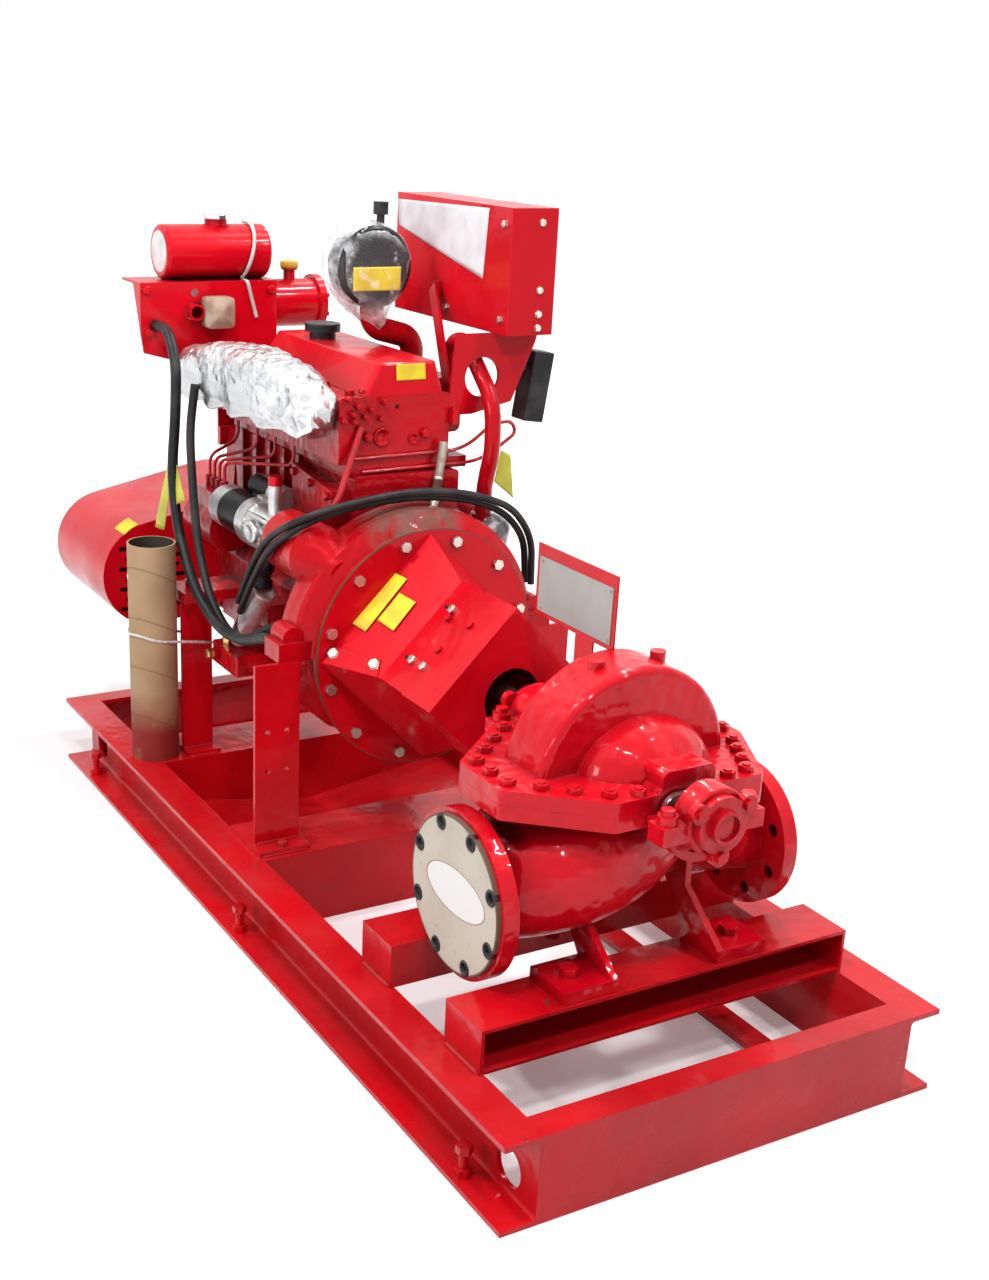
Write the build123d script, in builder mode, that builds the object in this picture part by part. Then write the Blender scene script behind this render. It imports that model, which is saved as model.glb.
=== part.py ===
from build123d import *
import os
from math import acos, cos, radians, sin, sqrt, tan

os.makedirs("parts", exist_ok=True)

# Skid-mounted fire pump: horizontal split-case pump, engine and welded channel base.
# X runs along the skid with +X at the pump end, +Y is the discharge side, Z is up.
# The floor is z = 0 and the origin is the centre of the base on the floor.

# Base frame of rolled 6 inch channel
frame_length = 1965.0
web_face = 361.0
rail_flange = 61.0
cross_flange = 50.8
channel_height = 152.4
channel_web = 8.0
channel_lip = 9.0
root_radius = 7.0
rail_hole_radius = 33.0
rail_hole_inset = 77.5
rail_hole_z = 52.0
front_cross_face = 12.0
rear_cross_face = -515.0
cross_member_depth = 150.0

# Drip pan under the engine
pan_rim = 62.0
pan_valley = 7.0
pan_sheet = 3.0

# Levelling screws through the outer bottom flanges
screw_inset = 140.0
screw_y = 400.0
screw_radius = 8.0
screw_height = 62.0
nut_flats = 24.0
nut_height = 13.0

# Flat bar low in the base under the pump
bar_y = 236.0
bar_width = 47.0
bar_thickness = 12.0

# Pump supports folded from plate
support_height = 77.2
support_plate = 6.0
near_support = [706.6, 813.2]
far_support = [429.2, 530.1]

# Shaft line shared by pump and engine
shaft_z = 525.0
shaft_radius = 19.0

# Pump casing, split at the shaft line
pump_x = 619.0
lip_thickness = 25.0
volute_start = 170.0
volute_growth = 46.0
volute_half_width = 56.0
volute_shoulder = 14.0
chamber_sections = [(50, 128, 105), (84, 118, 98), (112, 96, 82), (134, 64, 60)]
neck_radius = 60.0
box_half_width = 50.0
casing_half_length = 178.0
casing_bolt_radius = 7.0
casing_nut_flats = 22.0
casing_nut_height = 10.0
stud_end = 3.0

# Pump nozzles
nozzle_z = 353.0
suction_face_y = 296.0
suction_flange_radius = 139.7
suction_bolt_circle = 234.95
suction_bore_radius = 63.5
discharge_face_y = 292.0
discharge_flange_radius = 127.0
discharge_bolt_circle = 200.0
discharge_bore_radius = 51.0
flange_thickness = 28.0
flange_bolt_count = 8
flange_hole_radius = 11.1
cover_thickness = 7.5
cover_hole_radius = flange_hole_radius + 3.0
cover_margin = 9.0

# Pump feet
foot_plate = 22.0
foot_length = 96.0
foot_spans = {-1: (110.0, 212.0), 1: (86.0, 186.0)}
foot_rib = 12.0

# Bearing housings outside the casing ends
bearing_gap = 33.0
bearing_length = 42.0
barrel_radius = 55.0
arm_radius = 76.0
arm_wall = 16.0
ear_reach = [-100.0, 92.0]
ear_height = 30.0
ear_bolt_radius = 16.0
end_cap_radius = 46.0
end_cap_length = 14.0
end_ring_radius = 27.0
end_ring_length = 11.0
end_recess_radius = 21.0
gland_thickness = 10.0

# Coupling guard of folded sheet
disc_face = -14.0
disc_thickness = 6.0
disc_radius = 236.0
disc_bolt_circle = 428.6
disc_bolt_count = 12
guard_root = 228.0
guard_waist = 170.0
guard_waist_x = 105.0
guard_front_x = 295.0
guard_sheet = 3.0
guard_lap_x = 192.0
guard_lap = 30.0
guard_hole_radius = 57.0

# Nameplate on its stand above the pump
stand_x = [352.0, 581.0]
stand_z = [703.0, 828.0]
stand_sheet = 3.0
stand_leg_x = 500.0
plate_margin = 9.0
plate_sheet = 1.6

# Engine: block, head and covers
engine_front = -700.0
housing_back = -130.0
housing_radius = 232.0
bell_radius = 266.0
starter_y = -192.0
starter_z = 705.0
starter_radius = 45.0
starter_back = -540.0
starter_pad_back = -235.0
pocket_taper_x = -105.0
block_half_width = 152.0
block_upper_left = 105.0
block_upper_right = 125.0
block_bottom = 430.0
deck_z = 842.0
head_top = 990.0
cover_top = 1050.0
head_near_x = -150.0
head_far_x = -690.0
pan_bottom = 300.0
timing_depth = 50.0

# Foil-wrapped manifold: x, y, z, width and height of its sections
manifold_sections = [
    (-705, -190, 948, 84, 96),
    (-560, -190, 955, 108, 126),
    (-360, -188, 955, 112, 132),
    (-230, -180, 938, 98, 112),
    (-165, -172, 930, 70, 72),
]

# Coolant pipe down to the flywheel housing
pipe_x = -118.0
pipe_y = 178.0
pipe_radius = 16.0
pipe_end_z = 752.0

# Engine posts
front_post_face = -40.0
front_post_y = [258.0, 350.0]
rear_post_face = -550.0
rear_post_y = [226.0, 295.0]
front_post_top = 525.0
lug_height = 36.0
rear_post_top = 500.0
post_plate = 8.0
post_depth = 60.0
post_hole_z = 350.0
post_hole_pitch = 40.0
post_hole_radius = 5.0
foot_thickness = 10.0

# Cardboard tube standing on the frame
tube_x = -575.0
tube_y = -350.0
tube_outer_radius = 51.0
tube_wall = 5.0
tube_top = 630.0

# Belt guard at the far end
belt_front_x = -890.0
belt_back_x = -1230.0
belt_sheet = 2.0
belt_circles = [(-228.0, 464.0, 123.0), (40.0, 515.0, 128.0)]

# Coolant tank and heat exchanger
exchanger_front_x = -760.0
tank_radius = 57.0
tank_x = -815.0

exchanger_back_x = -870.0
bracket_sheet = 5.0
bracket_left = -294.0
bracket_right = 20.0
shelf_top = 1137.0
shell_x = -820.0
shell_z = 1080.0
shell_radius = 52.0

# Air cleaner and intake
air_face_x = -350.0
air_y = 48.0
air_z = 1205.0
air_radius = 80.0
intake_top = 1000.0

# Instrument panel
panel_x = [-552.0, -99.0]
panel_y = [200.0, 304.0]
panel_z = [1100.0, 1336.0]
bracket_plate = 6.0


def corner_radii(points):
    """Largest bend radii that leave straight runs between the corners."""
    radii = []
    for before, here, after in zip(points, points[1:], points[2:]):
        arriving = Vector(*here) - Vector(*before)
        leaving = Vector(*after) - Vector(*here)
        cosine = arriving.dot(leaving) / (arriving.length * leaving.length)
        turn = acos(max(-1.0, min(1.0, cosine)))
        radii.append(0.45 * min(arriving.length, leaving.length) / tan(turn / 2))
    return radii


rail_hole_x = frame_length / 2 - rail_hole_inset
screw_places = [screw_inset - frame_length / 2, 0.0, frame_length / 2 - screw_inset]

# BASE FRAME
# Long rail: a channel with its flanges turned outward
with BuildPart() as left_rail:
    with BuildSketch(Plane.YZ.offset(-frame_length / 2)):
        with BuildLine():
            Polyline(
                (-web_face + channel_web, 0),
                (-web_face + channel_web, channel_height),
                (-web_face - rail_flange, channel_height),
                (-web_face - rail_flange, channel_height - channel_lip),
                (-web_face, channel_height - channel_lip),
                (-web_face, channel_lip),
                (-web_face - rail_flange, channel_lip),
                (-web_face - rail_flange, 0),
                close=True,
            )
        make_face()
        fillet(vertices().group_by(Axis.X)[1], root_radius)
    extrude(amount=frame_length)
    # lifting holes near both ends of the web
    with BuildSketch(Plane.XZ.offset(web_face + 1)):
        with Locations((-rail_hole_x, rail_hole_z), (rail_hole_x, rail_hole_z)):
            Circle(rail_hole_radius)
    extrude(amount=-channel_web - 2, mode=Mode.SUBTRACT)
    # levelling screw holes
    with Locations(*[(x, -screw_y, channel_lip) for x in screw_places]):
        Hole(screw_radius + 0.5, depth=channel_lip)
left_rail.part.label = "left_rail"

with BuildPart() as right_rail:
    mirror(left_rail.part, about=Plane.XZ)
right_rail.part.label = "right_rail"

# End channels close the rails, webs flush with the rail ends
inner_width = 2 * (web_face - channel_web)
with BuildPart() as pump_end_channel:
    with BuildSketch(Plane.XZ) as end_profile:
        with BuildLine():
            Polyline(
                (frame_length / 2, 0),
                (frame_length / 2, channel_height),
                (frame_length / 2 - cross_flange, channel_height),
                (frame_length / 2 - cross_flange, channel_height - channel_lip),
                (frame_length / 2 - channel_web, channel_height - channel_lip),
                (frame_length / 2 - channel_web, channel_lip),
                (frame_length / 2 - cross_flange, channel_lip),
                (frame_length / 2 - cross_flange, 0),
                close=True,
            )
        make_face()
        fillet(vertices().group_by(Axis.X)[1], root_radius)
    extrude(amount=inner_width / 2, both=True)
pump_end_channel.part.label = "pump_end_channel"

with BuildPart() as engine_end_channel:
    mirror(pump_end_channel.part, about=Plane.YZ)
engine_end_channel.part.label = "engine_end_channel"

# Cross members carry the engine posts: deep channels, webs toward the pump
with BuildPart() as front_cross_channel:
    with BuildSketch(Plane.XZ):
        with BuildLine():
            Polyline(
                (front_cross_face, 0),
                (front_cross_face, channel_height),
                (front_cross_face - cross_member_depth, channel_height),
                (front_cross_face - cross_member_depth, channel_height - channel_lip),
                (front_cross_face - channel_web, channel_height - channel_lip),
                (front_cross_face - channel_web, channel_lip),
                (front_cross_face - cross_member_depth, channel_lip),
                (front_cross_face - cross_member_depth, 0),
                close=True,
            )
        make_face()
        fillet(vertices().group_by(Axis.X)[1], root_radius)
    extrude(amount=inner_width / 2, both=True)
front_cross_channel.part.label = "front_cross_channel"

with BuildPart() as rear_cross_channel:
    with Locations((rear_cross_face - front_cross_face, 0, 0)):
        add(front_cross_channel.part)
rear_cross_channel.part.label = "rear_cross_channel"

# Drip pan: a shallow vee of sheet between the cross members
with BuildPart() as drip_pan:
    pan_start = rear_cross_face
    pan_end = front_cross_face - cross_member_depth
    with BuildSketch(Plane.YZ.offset(pan_start)):
        with BuildLine():
            Polyline(
                (-inner_width / 2, pan_rim),
                (0, pan_valley),
                (inner_width / 2, pan_rim),
                (inner_width / 2, pan_rim - pan_sheet),
                (0, pan_valley - pan_sheet),
                (-inner_width / 2, pan_rim - pan_sheet),
                close=True,
            )
        make_face()
    extrude(amount=pan_end - pan_start)
drip_pan.part.label = "drip_pan"

# Flat bar on the bottom flanges, between the pump end and the front cross channel
with BuildPart() as underframe_bar:
    bar_end = frame_length / 2 - channel_web - root_radius
    with Locations(((bar_end + front_cross_face) / 2, bar_y, channel_lip + bar_thickness / 2)):
        Box(bar_end - front_cross_face, bar_width, bar_thickness)
underframe_bar.part.label = "underframe_bar"

# Levelling screws with nuts on the flange
with BuildPart() as levelling_screws:
    screw_spots = [(x, side * screw_y) for x in screw_places for side in (-1, 1)]
    with BuildSketch(Plane.XY):
        with Locations(*screw_spots):
            Circle(screw_radius)
    extrude(amount=screw_height)
    with BuildSketch(Plane.XY.offset(channel_lip)):
        with Locations(*screw_spots):
            RegularPolygon(nut_flats / 2, 6, major_radius=False)
    extrude(amount=nut_height)
    with BuildSketch(Plane.XY.offset(screw_height - nut_height)):
        with Locations(*screw_spots):
            RegularPolygon(nut_flats / 2, 6, major_radius=False)
    extrude(amount=nut_height)
levelling_screws.part.label = "levelling_screws"

# Pump supports: folded channels laid across the frame with closed ends
support_top = channel_height + support_height
with BuildPart() as near_pump_support:
    with BuildSketch(Plane.XZ):
        with BuildLine():
            Polyline(
                (near_support[0], channel_height),
                (near_support[0], support_top),
                (near_support[1], support_top),
                (near_support[1], support_top - support_plate),
                (near_support[0] + support_plate, support_top - support_plate),
                (near_support[0] + support_plate, channel_height + support_plate),
                (near_support[1], channel_height + support_plate),
                (near_support[1], channel_height),
                close=True,
            )
        make_face()
    extrude(amount=web_face, both=True)
    support_middle = (near_support[0] + near_support[1]) / 2
    with Locations(
        (support_middle, web_face - support_plate / 2, channel_height + support_height / 2),
        (support_middle, support_plate / 2 - web_face, channel_height + support_height / 2),
    ):
        Box(near_support[1] - near_support[0], support_plate, support_height)
near_pump_support.part.label = "near_pump_support"

with BuildPart() as far_pump_support:
    with BuildSketch(Plane.XZ):
        with BuildLine():
            Polyline(
                (far_support[1], channel_height),
                (far_support[1], support_top),
                (far_support[0], support_top),
                (far_support[0], support_top - support_plate),
                (far_support[1] - support_plate, support_top - support_plate),
                (far_support[1] - support_plate, channel_height + support_plate),
                (far_support[0], channel_height + support_plate),
                (far_support[0], channel_height),
                close=True,
            )
        make_face()
    extrude(amount=web_face, both=True)
    support_middle = (far_support[0] + far_support[1]) / 2
    with Locations(
        (support_middle, web_face - support_plate / 2, channel_height + support_height / 2),
        (support_middle, support_plate / 2 - web_face, channel_height + support_height / 2),
    ):
        Box(far_support[1] - far_support[0], support_plate, support_height)
far_pump_support.part.label = "far_pump_support"

# ENGINE POSTS
# Front post: an angle on a foot plate, four holes in its face
with BuildPart() as front_left_post:
    with BuildSketch(Plane.XY.offset(channel_height + foot_thickness)):
        with BuildLine():
            Polyline(
                (front_post_face, -front_post_y[1]),
                (front_post_face, -front_post_y[0]),
                (front_post_face - post_depth, -front_post_y[0]),
                (front_post_face - post_depth, -front_post_y[0] - post_plate),
                (front_post_face - post_plate, -front_post_y[0] - post_plate),
                (front_post_face - post_plate, -front_post_y[1]),
                close=True,
            )
        make_face()
    extrude(amount=front_post_top - channel_height - foot_thickness)
    post_hole_y = (front_post_y[0] + front_post_y[1]) / 2
    with BuildSketch(Plane.YZ.offset(front_post_face)):
        with Locations((-post_hole_y, post_hole_z)):
            with GridLocations(post_hole_pitch, 2 * post_hole_pitch, 2, 2):
                Circle(post_hole_radius)
    extrude(amount=-post_plate, mode=Mode.SUBTRACT)
    with Locations((front_post_face - 30, -post_hole_y, channel_height + foot_thickness / 2)):
        Box(140, front_post_y[1] - front_post_y[0] + 14, foot_thickness)
front_left_post.part.label = "front_left_post"

with BuildPart() as front_right_post:
    mirror(front_left_post.part, about=Plane.XZ)
front_right_post.part.label = "front_right_post"

with BuildPart() as rear_left_post:
    with BuildSketch(Plane.XY.offset(channel_height + foot_thickness)):
        with BuildLine():
            Polyline(
                (rear_post_face, -rear_post_y[1]),
                (rear_post_face, -rear_post_y[0]),
                (rear_post_face - post_depth, -rear_post_y[0]),
                (rear_post_face - post_depth, -rear_post_y[0] - post_plate),
                (rear_post_face - post_plate, -rear_post_y[0] - post_plate),
                (rear_post_face - post_plate, -rear_post_y[1]),
                close=True,
            )
        make_face()
    extrude(amount=rear_post_top - channel_height - foot_thickness)
    rear_middle_y = (rear_post_y[0] + rear_post_y[1]) / 2
    with Locations((rear_post_face - 22, -rear_middle_y + 4, channel_height + foot_thickness / 2)):
        Box(100, rear_post_y[1] - rear_post_y[0] + 6, foot_thickness)
rear_left_post.part.label = "rear_left_post"

with BuildPart() as rear_right_post:
    mirror(rear_left_post.part, about=Plane.XZ)
rear_right_post.part.label = "rear_right_post"

# Rear mount brackets bolted to the block, resting on the posts
with BuildPart() as rear_mounts:
    for side in (-1, 1):
        bracket_y = side * (block_half_width + rear_post_y[1]) / 2
        with Locations((rear_post_face - 30, bracket_y, rear_post_top + 11)):
            Box(100, rear_post_y[1] - block_half_width, 22)
        with Locations((rear_post_face - 30, side * (block_half_width + 7), rear_post_top - 20)):
            Box(100, 14, 84)
        with Locations((rear_post_face - 30, side * rear_middle_y, rear_post_top + 22)):
            Cylinder(13, 16, align=(Align.CENTER, Align.CENTER, Align.MIN))
rear_mounts.part.label = "rear_mounts"

# Block on the left of the engine that carries the drain fitting
with BuildPart() as side_block:
    with Locations((-425, -block_half_width - 49, block_bottom - 24)):
        Box(130, 98, 44)
    with Locations((-425, -block_half_width - 7, block_bottom + 10)):
        Box(130, 14, 90)
    fillet(edges().filter_by(Axis.Z).group_by(Axis.Y)[0], 6)
    with BuildSketch(Plane.XZ.offset(block_half_width + 98)):
        with Locations((-454, block_bottom - 20)):
            RegularPolygon(11, 6, major_radius=False)
    extrude(amount=14)
side_block.part.label = "side_block"

# ENGINE
# Cylinder block with wider crankcase, cast ribs and a side cover plate
with BuildPart() as engine_block:
    with BuildSketch(Plane.YZ.offset(engine_front)):
        with BuildLine():
            Polyline(
                (-block_half_width, block_bottom),
                (block_half_width, block_bottom),
                (block_half_width, 575),
                (block_upper_right, 640),
                (block_upper_right, deck_z),
                (-block_upper_left, deck_z),
                (-block_upper_left, 640),
                (-block_half_width, 575),
                close=True,
            )
        make_face()
    extrude(amount=housing_back - engine_front)
    fillet(edges().filter_by(Axis.X), 8)
    rib_height = deck_z - 700
    rib_middle = deck_z - rib_height / 2
    for x in (-640, -570, -500, -430, -360):
        with Locations((x, -block_upper_left, rib_middle), (x, block_upper_right, rib_middle)):
            Box(16, 24, rib_height)
    # side cover plate, top edge falling toward the flywheel
    with BuildSketch(Plane.XZ.offset(block_upper_left)):
        with BuildLine():
            Polyline((-335, 720), (-335, 832), (-160, 812), (-160, 720), close=True)
        make_face()
    extrude(amount=34)
    # core plugs low on both sides
    with BuildSketch(Plane.XZ.offset(block_half_width)):
        with Locations((-500, 515), (-300, 515)):
            Circle(22)
    extrude(amount=4)
engine_block.part.label = "engine_block"

# Oil pan
with BuildPart() as oil_pan:
    with BuildSketch(Plane.XY.offset(block_bottom)):
        with Locations((-415, 0)):
            RectangleRounded(540, 270, 20)
    with BuildSketch(Plane.XY.offset(pan_bottom)):
        with Locations((-430, 0)):
            RectangleRounded(440, 200, 30)
    loft()
oil_pan.part.label = "oil_pan"

# Cylinder head with its lower ledge
with BuildPart() as cylinder_head:
    with BuildSketch(Plane.YZ.offset(head_far_x)):
        with BuildLine():
            Polyline(
                (-112, deck_z),
                (152, deck_z),
                (152, deck_z + 22),
                (110, deck_z + 22),
                (110, head_top),
                (-130, head_top),
                (-130, deck_z + 22),
                (-112, deck_z + 22),
                close=True,
            )
        make_face()
    extrude(amount=head_near_x - head_far_x)
    fillet(edges().filter_by(Axis.X).group_by(Axis.Z)[-1], 6)
cylinder_head.part.label = "cylinder_head"

# Rocker cover with sloping sides
with BuildPart() as rocker_cover:
    with BuildSketch(Plane.XY.offset(head_top)):
        with Locations((-390, 8)):
            RectangleRounded(480, 176, 12)
    with BuildSketch(Plane.XY.offset(cover_top)):
        with Locations((-390, 20)):
            RectangleRounded(460, 126, 12)
    loft()
    fillet(faces().sort_by(Axis.Z)[-1].edges(), 6)
rocker_cover.part.label = "rocker_cover"

# Oil filler cap
with BuildPart() as oil_filler_cap:
    with Locations((-500, 5, cover_top)):
        Cylinder(27, 14, align=(Align.CENTER, Align.CENTER, Align.MIN))
    with Locations((-500, 5, cover_top + 14)):
        Cylinder(37, 16, align=(Align.CENTER, Align.CENTER, Align.MIN))
    fillet(edges().filter_by(GeomType.CIRCLE).sort_by(Axis.Z)[-1], 3)
oil_filler_cap.part.label = "oil_filler_cap"

# Flywheel housing: flange ring, upper bell, starter pad, side lugs on the posts
with BuildPart() as flywheel_housing:
    housing_face = disc_face - disc_thickness
    with BuildSketch(Plane.XZ):
        with BuildLine():
            Polyline(
                (housing_face, shaft_z),
                (housing_face, shaft_z + housing_radius),
                (housing_face - 16, shaft_z + housing_radius),
                (housing_face - 26, shaft_z + housing_radius - 12),
                (housing_back, shaft_z + housing_radius - 26),
                (housing_back, shaft_z),
                close=True,
            )
        make_face()
    revolve(axis=Axis((0, 0, shaft_z), (1, 0, 0)))
    # upper bell, wider than the flange
    with BuildSketch(Plane.XZ):
        with BuildLine():
            Polyline(
                (housing_face - 16, shaft_z),
                (housing_face - 16, shaft_z + housing_radius - 4),
                (housing_face - 34, shaft_z + bell_radius - 4),
                (housing_face - 42, shaft_z + bell_radius),
                (housing_back + 12, shaft_z + bell_radius),
                (housing_back, shaft_z + bell_radius - 14),
                (housing_back, shaft_z),
                close=True,
            )
        make_face()
    revolve(axis=Axis((0, 0, shaft_z), (1, 0, 0)), revolution_arc=90)
    mirror(about=Plane.XZ)
    # starter pocket, tapering in toward the flange
    with BuildSketch(Plane.YZ.offset(starter_pad_back)):
        with Locations((starter_y, starter_z)):
            Circle(starter_radius + 15)
    extrude(amount=pocket_taper_x - starter_pad_back)
    with BuildSketch(Plane.YZ.offset(pocket_taper_x)):
        with Locations((starter_y, starter_z)):
            Circle(starter_radius + 15)
    with BuildSketch(Plane.YZ.offset(housing_face - 26)):
        with Locations((starter_y + 26, starter_z - 26)):
            Circle(starter_radius - 17)
    loft()
    # side lugs resting on the front posts
    for side in (-1, 1):
        with Locations((front_post_face - 32, side * (front_post_y[0] + 2), front_post_top + lug_height / 2)):
            Box(64, 84, lug_height)
        with BuildSketch(Plane.YZ.offset(front_post_face - 64)):
            with Locations((side * (front_post_y[0] + 10), front_post_top + lug_height + 6)):
                Circle(22)
        extrude(amount=56)
    # boss for the coolant pipe
    with Locations((pipe_x, pipe_y, shaft_z + 120)):
        Cylinder(pipe_radius + 6, pipe_end_z - shaft_z - 120, align=(Align.CENTER, Align.CENTER, Align.MIN))
    add(engine_block.part, mode=Mode.SUBTRACT)
flywheel_housing.part.label = "flywheel_housing"

# Starter motor: yoke, stepped drive nose with ribs, solenoid and its stop valve
with BuildPart() as starter_motor:
    with BuildSketch(Plane.YZ.offset(starter_back)):
        with Locations((starter_y, starter_z)):
            Circle(starter_radius)
    extrude(amount=150)
    fillet(edges().filter_by(GeomType.CIRCLE).sort_by(Axis.X)[0], 6)
    with BuildSketch(Plane.YZ.offset(starter_back + 150)):
        with Locations((starter_y, starter_z)):
            Circle(starter_radius + 5)
    extrude(amount=34)
    with BuildSketch(Plane.YZ.offset(starter_back + 184)):
        with Locations((starter_y, starter_z)):
            Circle(starter_radius)
    with BuildSketch(Plane.YZ.offset(starter_pad_back)):
        with Locations((starter_y, starter_z)):
            Circle(starter_radius - 14)
    loft()
    with BuildSketch(Plane.YZ.offset(starter_pad_back)):
        with Locations((starter_y, starter_z)):
            Circle(starter_radius + 8)
    extrude(amount=-12)
    # solenoid above the yoke
    with BuildSketch(Plane.YZ.offset(starter_back + 60)):
        with Locations((starter_y + 44, starter_z + 52)):
            Circle(24)
    extrude(amount=150)
    with Locations((starter_back + 150, starter_y + 24, starter_z + 34)):
        Box(50, 44, 40)
    with Locations((starter_back + 240, starter_y, starter_z + 30)):
        Cylinder(14, 82, align=(Align.CENTER, Align.CENTER, Align.MIN))
    add(engine_block.part, mode=Mode.SUBTRACT)
starter_motor.part.label = "starter_motor"

# Foil-wrapped exhaust manifold on the left of the head
with BuildPart() as exhaust_manifold:
    for x, y, z, width, height in manifold_sections:
        with BuildSketch(Plane(origin=(x, y, z), x_dir=(0, 1, 0), z_dir=(1, 0, 0))):
            RectangleRounded(width, height, 0.3 * min(width, height))
    loft()
    with Locations(*[(x, -134, 950) for x in (-620, -500, -380, -270)]):
        Box(50, 40, 60)
    add(cylinder_head.part, mode=Mode.SUBTRACT)
exhaust_manifold.part.label = "exhaust_manifold"

# Injection pump on the left side
with BuildPart() as injection_pump:
    with BuildSketch(Plane.YZ.offset(-690)):
        with Locations((-185, 650)):
            Circle(48)
    extrude(amount=150)
    with Locations((-600, -190, 700)):
        Box(110, 50, 50)
    with Locations(*[(x, -190, 725) for x in (-640, -613, -586, -560)]):
        Cylinder(9, 24, align=(Align.CENTER, Align.CENTER, Align.MIN))
    add(engine_block.part, mode=Mode.SUBTRACT)
injection_pump.part.label = "injection_pump"

# Steel lines: injection lines, the fuel line across the near end and the dipstick tube
steel_routes = []
for start_x, end_x in ((-640, -640), (-613, -540), (-586, -450), (-560, -360)):
    steel_routes.append((3.5, [
        (start_x, -190, 749),
        (start_x, -190, 790),
        (end_x, -124, 820),
        (end_x, -124, deck_z + 22),
    ]))
steel_routes.append((3.5, [
    (-146.3, -119, 874),
    (-146.3, 143, 877),
    (-146.3, 208, 924),
    (-146.3, 252, 926),
    (-146.3, 264, 902),
    (-146.3, 186, 851),
    (-146.3, -80, 848),
]))
steel_routes.append((6.0, [
    (-144, -86, 935),
    (-130, -118, 865),
    (-112, -150, 800),
    (-150, -162, 763),
]))
with BuildPart() as steel_lines:
    for line_radius, line_points in steel_routes:
        line_bends = corner_radii(line_points)
        with BuildLine() as line_path:
            FilletPolyline(*line_points, radius=line_bends)
        with BuildSketch(Plane(origin=line_path.line @ 0, z_dir=line_path.line % 0)):
            Circle(line_radius)
        sweep()
        print("steel line bends", [round(r) for r in line_bends])
steel_lines.part.label = "steel_lines"

# Lift pump, a bright tilted cylinder low on the left
with BuildPart() as lift_pump:
    with BuildSketch(Plane(origin=(-425, -215, 448), z_dir=(0.683, 0, 0.730))):
        Circle(24)
    extrude(amount=190)
    fillet(edges().filter_by(GeomType.CIRCLE), 3)
    with Locations((-362, -176, 517)):
        Box(40, 48, 40)
lift_pump.part.label = "lift_pump"

# Oil filter on the right side
with BuildPart() as oil_filter:
    with BuildSketch(Plane.YZ.offset(-150)):
        with Locations((205, 715)):
            Circle(48)
    extrude(amount=-120)
    fillet(edges().filter_by(GeomType.CIRCLE), 8)
    with Locations((-215, 145, 715)):
        Box(60, 40, 60)
oil_filter.part.label = "oil_filter"

# Timing cover and front hub
with BuildPart() as timing_cover:
    with BuildSketch(Plane.YZ.offset(engine_front)):
        with BuildLine():
            Polyline((-130, 440), (130, 440), (118, 830), (-100, 830), close=True)
        make_face()
        fillet(vertices(), 20)
    extrude(amount=-timing_depth)
timing_cover.part.label = "timing_cover"

with BuildPart() as front_hub:
    with BuildSketch(Plane.YZ.offset(engine_front - timing_depth)):
        with Locations((0, shaft_z)):
            Circle(40)
    extrude(amount=-240)
    with BuildSketch(Plane.YZ.offset(-940)):
        with Locations((0, shaft_z)):
            Circle(95)
    extrude(amount=-50)
front_hub.part.label = "front_hub"

# Belt guard: slotted sheet front and a deep wrapped shell
with BuildPart() as belt_guard:
    for inset, start, mode in (
        (0.0, belt_back_x, Mode.ADD),
        (belt_sheet, belt_back_x + belt_sheet, Mode.SUBTRACT),
    ):
        with BuildSketch(Plane.YZ.offset(start)):
            for y, z, radius in belt_circles:
                with Locations((y, z)):
                    Circle(radius - inset)
            make_hull()
        extrude(amount=belt_front_x - inset - start, mode=mode)
    # ventilation slots in staggered rows
    with BuildSketch(Plane.YZ.offset(belt_front_x - 5)):
        for row in range(7):
            shift = 14 if row % 2 else 0
            with Locations(*[(-295 + shift + 56 * k, 385 + 24 * row) for k in range(3)]):
                SlotOverall(36, 10)
    extrude(amount=10, mode=Mode.SUBTRACT)
    # straps back to the timing cover
    strap_length = engine_front - timing_depth - belt_front_x
    with Locations(
        (belt_front_x + strap_length / 2, -105, shaft_z + 35),
        (belt_front_x + strap_length / 2, 105, shaft_z + 35),
    ):
        Box(strap_length, 30, 10)
    # opening for the shaft
    with BuildSketch(Plane.YZ.offset(belt_front_x - 5)):
        with Locations((0, shaft_z)):
            Circle(60)
    extrude(amount=10, mode=Mode.SUBTRACT)
belt_guard.part.label = "belt_guard"

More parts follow.
